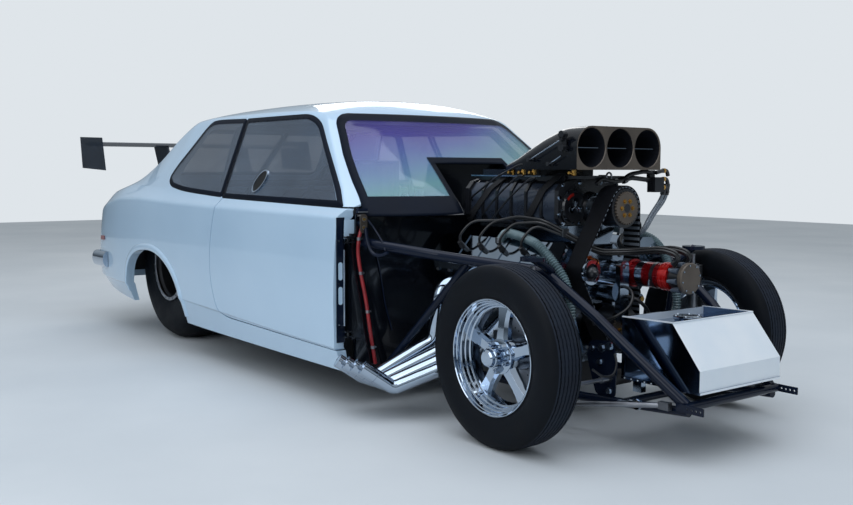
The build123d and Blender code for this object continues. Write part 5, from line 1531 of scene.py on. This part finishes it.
# Satin sheet of the tank's front: near-white, painted light of the sky falling on it.
sky_lit_satin_sheet = finish_of("satin_alloy_sheet_painted_sky_light", "f4faff", "e8f2fb", 0.34, metal=0.35, scale=5.0, relief=0.03)
# Mirror sheet of its sides: dark blue, a painted reflection of the dark surroundings it mirrors.
mirror_sheet = finish_of("mirror_alloy_sheet_painted_dark_reflection", "7489a5", "627894", 0.07, metal=1.0, scale=4.0, relief=0.02)
FILLER_X, SKY_LIT_FACING = 2.039, 0.5
FILLER_CAP = [
    (0.4455, 0.0), (0.4455, 0.0500), (0.4480, 0.0520), (0.4560, 0.0520), (0.4585, 0.0480), (0.4600, 0.0120),
    (0.4600, 0.0),
]
tank = frame["nodes"]["fuel_tank"]
tank.data.materials.clear()
for finish in (mirror_sheet, sky_lit_satin_sheet):
    tank.data.materials.append(finish)
# Faces that look forward take the painted sky light, the rest the painted dark reflection.
tank.data.polygons.foreach_set("material_index", [int(f.normal.x > SKY_LIT_FACING) for f in tank.data.polygons])
trim = []
for side in (-1, 1):
    trim.append((
        slab(
            [(1.933, 0.4600), (2.152, 0.4652), (2.152, 0.4690), (1.933, 0.4640)],
            side * 0.2225, side * 0.2300, upright,
        ),
        0,
    ))
    for x in np.linspace(1.95, 2.13, 7):
        trim.append((rod((x, side * 0.2275, 0.2440), (x, side * 0.2300, 0.2440), 0.0026, 10), 0))
trim.append((
    slab([(-0.228, 2.1480), (0.228, 2.1480), (0.228, 2.1560), (-0.228, 2.1560)], 0.4650, 0.4682, lying), 0
))
trim.append((lathe(FILLER_CAP, (FILLER_X, 0, 0), "z", 1, 64), 1))
for spot in spots_round((FILLER_X, 0, 0.4570), 0.0440, 6, 0.0, "z"):
    trim.append((rod(spot, spot + (0, 0, 0.0045), 0.0034, 6), 0))
put(assemble("tank_lips_and_cap", trim, [sky_lit_satin_sheet, billet], 35), "chassis", slot_of["fuel_tank"])


# Engine bolts and fittings
# Zinc-plated bolts along the rocker covers, header flanges and drive case,
# plugs and fittings of alloy, copper and brass, and the front drive's lines.

# Copper line fitting: a warm reddish glint.
copper = finish_of("copper_fitting", "b8673a", "945026", 0.25, metal=1.0, scale=25.0, relief=0.05)
BANK_Y, BANK_Z = 0.177, 0.547
bits = []
root = math.cos(math.radians(45))


def bank_spot(x, side, out, up):
    """A point on a cylinder bank: (x, side (Y + (out + up) cos 45), Z + (up - out) cos 45)."""
    return np.array((x, side * (BANK_Y + (out + up) * root), BANK_Z + (up - out) * root))


for side in (-1, 1):
    rise, outwards = np.array((0, side * root, root)), np.array((0, side * root, -root))
    for x in np.linspace(1.005, 1.612, 9):
        spot = bank_spot(x, side, 0.1035, 0.1195)
        bits.append((rod(spot, spot + rise * 0.009, 0.0056, 6), 0))
    for k in range(4):
        port = PORT_X + PORT_PITCH * k
        for along, up in ((-0.034, 0.022), (0.034, 0.022), (-0.034, 0.084), (0.034, 0.084)):
            spot = bank_spot(port + along, side, 0.115, up)
            bits.append((rod(spot, spot + outwards * 0.010, 0.0058, 6), 0))
    for y, z in ((0.130, 0.420), (0.130, 0.540), (0.098, 0.640), (0.080, 0.290)):
        bits.append((rod((1.623, side * y, z), (1.630, side * y, z), 0.0065, 6), 0))
    spot = bank_spot(1.622, side, 0.010, 0.150)
    bits.append((
        lathe(
            [(1.6310, 0.0), (1.6310, 0.0300), (1.6350, 0.0290), (1.6360, 0.0)],
            (0, spot[1], spot[2]),
            "x", 1, 48,
        ),
        1,
    ))
for z in (0.424, 0.616):
    bits.append((rod((1.7755, -0.042, z), (1.7800, -0.042, z), 0.0085, 6), 2))
bits += [
    (
        pipe(
            [(1.650, -0.112, 0.640), (1.700, -0.112, 0.640), (1.722, -0.128, 0.622), (1.722, -0.140, 0.575)],
            0.0062, 14, 0.02,
        ),
        3,
    ),
    (rod((1.6495, -0.112, 0.640), (1.6620, -0.112, 0.640), 0.0150, 6), 3),
    (rod((1.650, 0.150, 0.470), (1.690, 0.150, 0.470), 0.0210, 32), 1),
    (rod((1.690, 0.150, 0.470), (1.702, 0.150, 0.470), 0.0120, 6), 4),
    (
        pipe(
            [
                (1.752, -0.020, 0.500), (1.800, -0.020, 0.500), (1.830, 0.000, 0.480), (1.830, 0.040, 0.440),
                (1.800, 0.080, 0.400),
            ],
            0.0070, 14, 0.03,
        ),
        5,
    ),
    (
        pipe(
            [
                (1.752, -0.040, 0.540), (1.800, -0.046, 0.540), (1.838, -0.060, 0.515),
                (1.845, -0.090, 0.470), (1.800, -0.130, 0.430), (1.720, -0.150, 0.400),
            ],
            0.0060, 14, 0.03,
        ),
        5,
    ),
    (rod((1.757, -0.020, 0.500), (1.775, -0.020, 0.500), 0.0105, 6), 4),
    (rod((1.757, -0.041, 0.540), (1.775, -0.042, 0.540), 0.0095, 6), 4),
]
put(
    assemble("engine_bolts_and_fittings", bits, [plain_steel, billet, chrome, copper, brass, lead_black], 40),
    "chassis", "engine_alloy",
)


# Arch lips
# The rolled lip of the steel skin round each wheel arch: LIP rows step out
# from the arch's edge, each point on the skin plus the row's lift.
def skin_y(x, z):
    """Half width of the lower body at x and z, from the section there."""
    section = half_section(np.clip(x, -2.108, 0.906))[:31]
    return float(np.interp(z, section[:, 1], section[:, 0]))


LIP = [
    (-0.002, -0.020), (-0.002, 0.004), (0.004, 0.0078), (0.016, 0.0085), (0.026, 0.0065), (0.033, 0.0020),
    (0.036, -0.0040),
]
edge_line = [p for p in arch_line if p[1] > 0.185]
start = max(range(len(edge_line)), key=lambda k: math.dist(edge_line[k], edge_line[k - 1]))
edge_line = np.array(edge_line[start:] + edge_line[:start])
along = np.gradient(edge_line, axis=0)
out = np.stack([along[:, 1], -along[:, 0]], 1) / np.linalg.norm(along, axis=1)[:, None]
if out[len(out) // 2, 1] < 0:
    out = -out
for side, name in SIDES:
    points = []
    for far, lift in LIP:
        for (x, z) in edge_line + out * far:
            points.append((x, side * (skin_y(x, z) + lift), z))
    n = len(edge_line)
    faces = bands(len(LIP), n, across=False, along=True)
    faces += [tuple(r * n for r in range(len(LIP))), tuple(r * n + n - 1 for r in range(len(LIP)))]
    lip = add_mesh(f"arch_lip_{name}", points, faces, [white_paint], 40)
    face_outwards(lip)
    put(lip, "chassis", "body_white")


# Hinge columns and the pieces on the firewall's corners
# The column is a black steel plate with two links and bolts; it rides its
# door. A thin black plate over the door's front end is partly the hinge's frame,
# partly painted shade of the gap. An oval bronze-coloured plate with two brass
# bolts, a bracket and thin lines stay on the firewall.

# Dull bronze-coloured plate: brown-grey among the black parts.
dull_plate = finish_of("dull_bronze_plate", "5d564f", "4a443e", 0.4, metal=0.6, scale=14.0, relief=0.1)


def oval(y, z, r_y, r_z, stretch, turn):
    """Upright rounded slot in front view: y + r_y cos t, z + r_z sin t, moved by the stretch up or down."""
    return [
        (y + r_y * math.cos(t), z + (stretch if math.sin(t) > 0 else -stretch) + r_z * math.sin(t))
        for t in turn
    ]


for side, name in SIDES:
    column = [
        # Thin black plate over the door's front end: partly the hinge's frame, partly painted shade of the
        # gap.
        (block((0.9050, side * 0.7600, 0.530), (0.003, 0.038, 0.510)), 0),
        (block((0.9105, side * 0.7660, 0.520), (0.006, 0.032, 0.360)), 0),
        (rod((0.918, side * 0.7500, 0.345), (0.918, side * 0.7500, 0.655), 0.0048, 16), 1),
    ]
    for z in (0.568, 0.468):
        link = oval(side * 0.766, z, 0.0095, 0.0085, 0.028, np.linspace(0.1, 6.18, 24))
        column.append((slab(link, 0.9130, 0.9150, facing), 2))
    for z in (0.350, 0.518, 0.690):
        column.append((rod((0.9135, side * 0.775, z), (0.9180, side * 0.775, z), 0.0045, 6), 1))
    put(
        assemble(f"hinge_column_{name}", column, [tube_black, billet, white_paint], 35),
        f"door_{name}",
        slot_of["front_frame"],
    )
corner = []
for side in (-1, 1):
    plate = oval(side * 0.690, 0.7615, 0.0165, 0.0165, 0.022, np.linspace(0.05, 6.23, 30))
    corner.append((slab(plate, 0.966, 0.972, facing), 0))
    for z in (0.745, 0.779):
        corner.append((rod((0.971, side * 0.690, z), (0.977, side * 0.690, z), 0.0065, 6), 1))
        corner.append((rod((0.971, side * 0.690, z), (0.973, side * 0.690, z), 0.0095, 20), 3))
    corner.append((rod((0.938, side * 0.690, 0.762), (0.967, side * 0.690, 0.762), 0.010, 16), 2))
    corner.append((block((0.9560, side * 0.690, 0.8130), (0.020, 0.044, 0.018)), 2))
    corner.append((block((0.9665, side * 0.690, 0.8080), (0.003, 0.046, 0.006)), 3))
    corner.append((
        pipe(
            [
                (0.974, side * 0.684, 0.745), (0.985, side * 0.684, 0.690), (1.010, side * 0.676, 0.640),
                (1.050, side * 0.662, 0.634), (1.080, side * 0.650, 0.650),
            ],
            0.0075, 12, 0.025,
        ),
        2,
    ))
    corner.append((
        pipe(
            [
                (0.974, side * 0.672, 0.775),
                (0.990, side * 0.655, 0.745),
                (1.030, side * 0.640, 0.690),
                (1.050, side * 0.640, 0.655),
            ],
            0.0042, 10, 0.02,
        ),
        2,
    ))
    corner.append((
        pipe(
            [
                (0.942, side * 0.610, 0.640),
                (0.942, side * 0.590, 0.560),
                (0.942, side * 0.565, 0.420),
                (0.942, side * 0.530, 0.310),
            ],
            0.0035, 8, 0.02,
        ),
        2,
    ))
    corner.append((
        slab(
            [(side * 0.7030, 0.690), (side * 0.7500, 0.700), (side * 0.7480, 0.776), (side * 0.7030, 0.776)],
            0.915, 0.921, facing,
        ),
        4,
    ))
put(
    assemble("firewall_corner_pieces", corner, [dull_plate, brass, tube_black, plain_steel, white_paint], 40),
    "chassis",
    slot_of["front_frame"],
)


# Side window vents and fasteners
# Oval black vents with a chrome rim, set in each door window, and the small
# black fasteners that hold the sheet under the roof's edge and at the post.

# Black gauze of the vents, seen as one dark face.
mirror_black = finish_of("black_vent_face", "0b0c10", "07080a", 0.35, scale=10.0, shine=0.2)
VENT_X, VENT_Z, VENT_POINTS = 0.118, 0.922, 48


def vent_ring(share):
    """Slanting oval in side view, times the share: x = 43 cos t + 20 sin t, z = 50 sin t, in mm."""
    t = np.linspace(0, 2 * math.pi, VENT_POINTS, endpoint=False)
    x = VENT_X + share * (0.043 * np.cos(t) + 0.020 * np.sin(t))
    return np.stack([x, VENT_Z + share * 0.050 * np.sin(t)], 1)


def on_sheet(side, rows):
    """Points of a vent's rows of (share of the oval, lift off the sheet)."""
    return [(x, side * (side_y(x, z) + lift), z) for share, lift in rows for x, z in vent_ring(share)]


for side, name in SIDES:
    face = on_sheet(side, [(0.96, 0.001), (0.96, 0.006)]), bands(2, VENT_POINTS) + caps(2, VENT_POINTS)
    rim = on_sheet(
        side, [(0.94, 0.001), (0.94, 0.009), (1.06, 0.009), (1.06, 0.001)]
    ), bands(4, VENT_POINTS, along=True)
    vent = [(face, 1), (rim, 0)]
    for x in np.linspace(-0.235, 0.325, 13):
        y = side_y(x, 1.212)
        vent.append((rod((x, side * (y + 0.0005), 1.2120), (x, side * (y + 0.0040), 1.2130), 0.0038, 10), 1))
    for z in np.linspace(0.86, 1.17, 7):
        x = -0.226 - 0.055 * (z - 0.836) / 0.395
        y = side_y(x, z)
        vent.append((
            rod((x + 0.012, side * (y + 0.0005), z), (x + 0.012, side * (y + 0.0045), z + 0.001), 0.0038, 10),
            1,
        ))
    put(
        assemble(f"door_window_trim_{name}", vent, [chrome, mirror_black], 40),
        f"door_{name}",
        slot_of["front_frame"],
    )


# Seat
# Bent coated sheet with side wings bolted on, and three padded cloth cushions
# whose swelling is t = T (1 - u^6)^0.5 (1 - v^6)^0.5, with sewn channels.

# Black coating on the seat's sheet shell: dark grey with a soft highlight.
seat_shell = finish_of(
    "black_coated_seat_shell", "24262b", "1a1c20", 0.4, metal=0.4, coat=0.2, scale=9.0, relief=0.08
)
SEAT_Y = 0.330


def cushion(name, low, high, half, thick, channels):
    """Padded form between two side-view points; half its width, swelling out to the seat's front."""
    low, high = np.array(low), np.array(high)
    axis = high - low
    normal = np.array([axis[1], -axis[0]]) / np.linalg.norm(axis)
    if normal[0] < 0 or normal[1] < -0.9:
        normal = -normal
    u, v = np.linspace(-1, 1, 41), np.linspace(-1, 1, 33)
    points, n = [], len(v)
    for face in (1, -1):
        for a in u:
            for b in v:
                swell = thick * math.sqrt(max(1 - a**6, 0)) * math.sqrt(max(1 - b**6, 0))
                swell *= 1 - (0.16 * abs(math.cos(channels * math.pi * b / 2)) ** 12 if face > 0 else 0)
                spot = (low + high) / 2 + axis / 2 * a + normal * (swell if face > 0 else -swell * 0.35)
                points.append((spot[0], SEAT_Y + half * b, spot[1]))
    faces, m = [], len(u) * n
    for i in range(len(u) - 1):
        for k in range(n - 1):
            a = i * n + k
            faces += [(a, a + 1, a + n + 1, a + n), (m + a, m + a + n, m + a + n + 1, m + a + 1)]
    pad = add_mesh(name, points, faces, [seat_cloth], 60)
    work = bmesh.new()
    work.from_mesh(pad.data)
    bmesh.ops.remove_doubles(work, verts=work.verts, dist=0.00005)
    bmesh.ops.recalc_face_normals(work, faces=work.faces)
    work.to_mesh(pad.data)
    work.free()
    put(pad, "chassis", slot_of["seat"])


shell = [(
    slab(
        [
            (-0.125, 0.255), (-0.125, 0.262), (-0.340, 0.238), (-0.436, 0.700), (-0.440, 1.028),
            (-0.447, 1.028), (-0.443, 0.700), (-0.346, 0.230),
        ],
        SEAT_Y - 0.165, SEAT_Y + 0.165, upright,
    ),
    0,
)]
for side in (-1, 1):
    wing = rounded(
        [
            (-0.135, 0.215), (-0.150, 0.375), (-0.328, 0.378), (-0.305, 0.755), (-0.418, 0.852),
            (-0.444, 0.700), (-0.426, 0.215),
        ],
        0.04, 5, closed=True,
    )
    shell.append((slab([tuple(p) for p in wing], SEAT_Y + side * 0.168, SEAT_Y + side * 0.186, upright), 0))
    shell.append((block((-0.270, SEAT_Y + side * 0.130, 0.198), (0.250, 0.020, 0.036)), 0))
    for x, z in ((-0.170, 0.250), (-0.400, 0.300), (-0.400, 0.780)):
        shell.append((rod((x, SEAT_Y + side * 0.184, z), (x, SEAT_Y + side * 0.190, z), 0.008, 6), 1))
put(assemble("seat_shell", shell, [seat_shell, plain_steel], 35), "chassis", slot_of["seat"], "seat")
cushion("seat_cushion_foot", (-0.340, 0.262), (-0.130, 0.284), 0.150, 0.034, 5)
cushion("seat_cushion_back", (-0.352, 0.330), (-0.424, 0.745), 0.150, 0.036, 5)
cushion("seat_cushion_head", (-0.428, 0.800), (-0.430, 1.015), 0.115, 0.034, 3)


# Front suspension brackets
# A black steel plate with chrome bolts stands on each lower rail; the lower
# arm's joint is a ball in a ring, with a lock collar and a brass bolt.
mounts = []
for side in (-1, 1):
    plate = rounded(
        [(1.835, 0.168), (1.925, 0.168), (1.932, 0.305), (1.905, 0.372), (1.800, 0.362), (1.788, 0.300)],
        0.018, 4, closed=True,
    )
    mounts.append((slab([tuple(p) for p in plate], side * 0.2465, side * 0.2525, upright), 0))
    for x, z, r in (
        (1.860, 0.341, 0.0125), (1.898, 0.352, 0.0125), (1.853, 0.290, 0.009), (1.815, 0.335, 0.008),
        (1.900, 0.190, 0.009),
    ):
        mounts.append((rod((x, side * 0.252, z), (x, side * 0.264, z), r, 6), 1))
        mounts.append((rod((x, side * 0.252, z), (x, side * 0.2545, z), r * 1.35, 24), 1))
    mounts.append((
        lathe(
            [
                (0.259, 0.0095), (0.259, 0.0185), (0.262, 0.0200), (0.272, 0.0200), (0.275, 0.0185),
                (0.275, 0.0095),
            ],
            (2.042, 0, 0.172),
            "y", side, 48,
        ),
        1,
    ))
    mounts.append((
        lathe(
            [
                (0.252, 0.0), (0.256, 0.0090), (0.262, 0.0115), (0.272, 0.0115), (0.278, 0.0105),
                (0.284, 0.0105), (0.286, 0.0),
            ],
            (2.042, 0, 0.172),
            "y", side, 32,
        ),
        2,
    ))
    mounts.append((rod((2.006, side * 0.267, 0.171), (2.026, side * 0.267, 0.172), 0.0105, 6), 1))
    mounts.append((rod((1.960, side * 0.269, 0.168), (2.008, side * 0.267, 0.171), 0.0080, 20), 1))
    mounts.append((
        pipe(
            [
                (1.930, side * 0.262, 0.330), (1.955, side * 0.275, 0.300), (1.962, side * 0.300, 0.262),
                (1.950, side * 0.345, 0.262), (1.935, side * 0.380, 0.290),
            ],
            0.0042, 10, 0.02,
        ),
        3,
    ))
put(
    assemble("suspension_brackets", mounts, [tube_black, chrome, brass, lead_black], 40),
    "chassis",
    slot_of["front_arms"],
)


# Header tips
# Each chromed pipe ends in a straight cut with a bead at the edge and another
# behind the tip, and a near-black sleeve inside: painted shade in its mouth.
TIP, TIP_PITCH, TIP_RUN, PIPE_R = (0.944, 0.800, 0.214), 0.060, (0.056, -0.110, -0.086), 0.028
beads = []
for side in (-1, 1):
    for k in range(4):
        mouth = np.array((TIP[0] + TIP_PITCH * k, side * TIP[1], TIP[2]))
        along = np.array((TIP_RUN[0], side * TIP_RUN[1], TIP_RUN[2])) / np.linalg.norm(TIP_RUN)
        for far, lift in ((0.0015, 0.0006), (0.062, 0.0008)):
            start = mouth + along * far
            beads.append((rod(start, start + along * 0.0022, PIPE_R + lift, 40), 0 if far > 0.01 else 1))
        # The near-black sleeve inside each mouth is painted shade.
        inner = mouth + along * 0.004
        beads.append((rod(inner, inner + along * 0.030, 0.0255, 40), 2))
put(assemble("header_beads", beads, [billet, chrome, throat_painted_shade], 40), "chassis", slot_of["headers_right"])
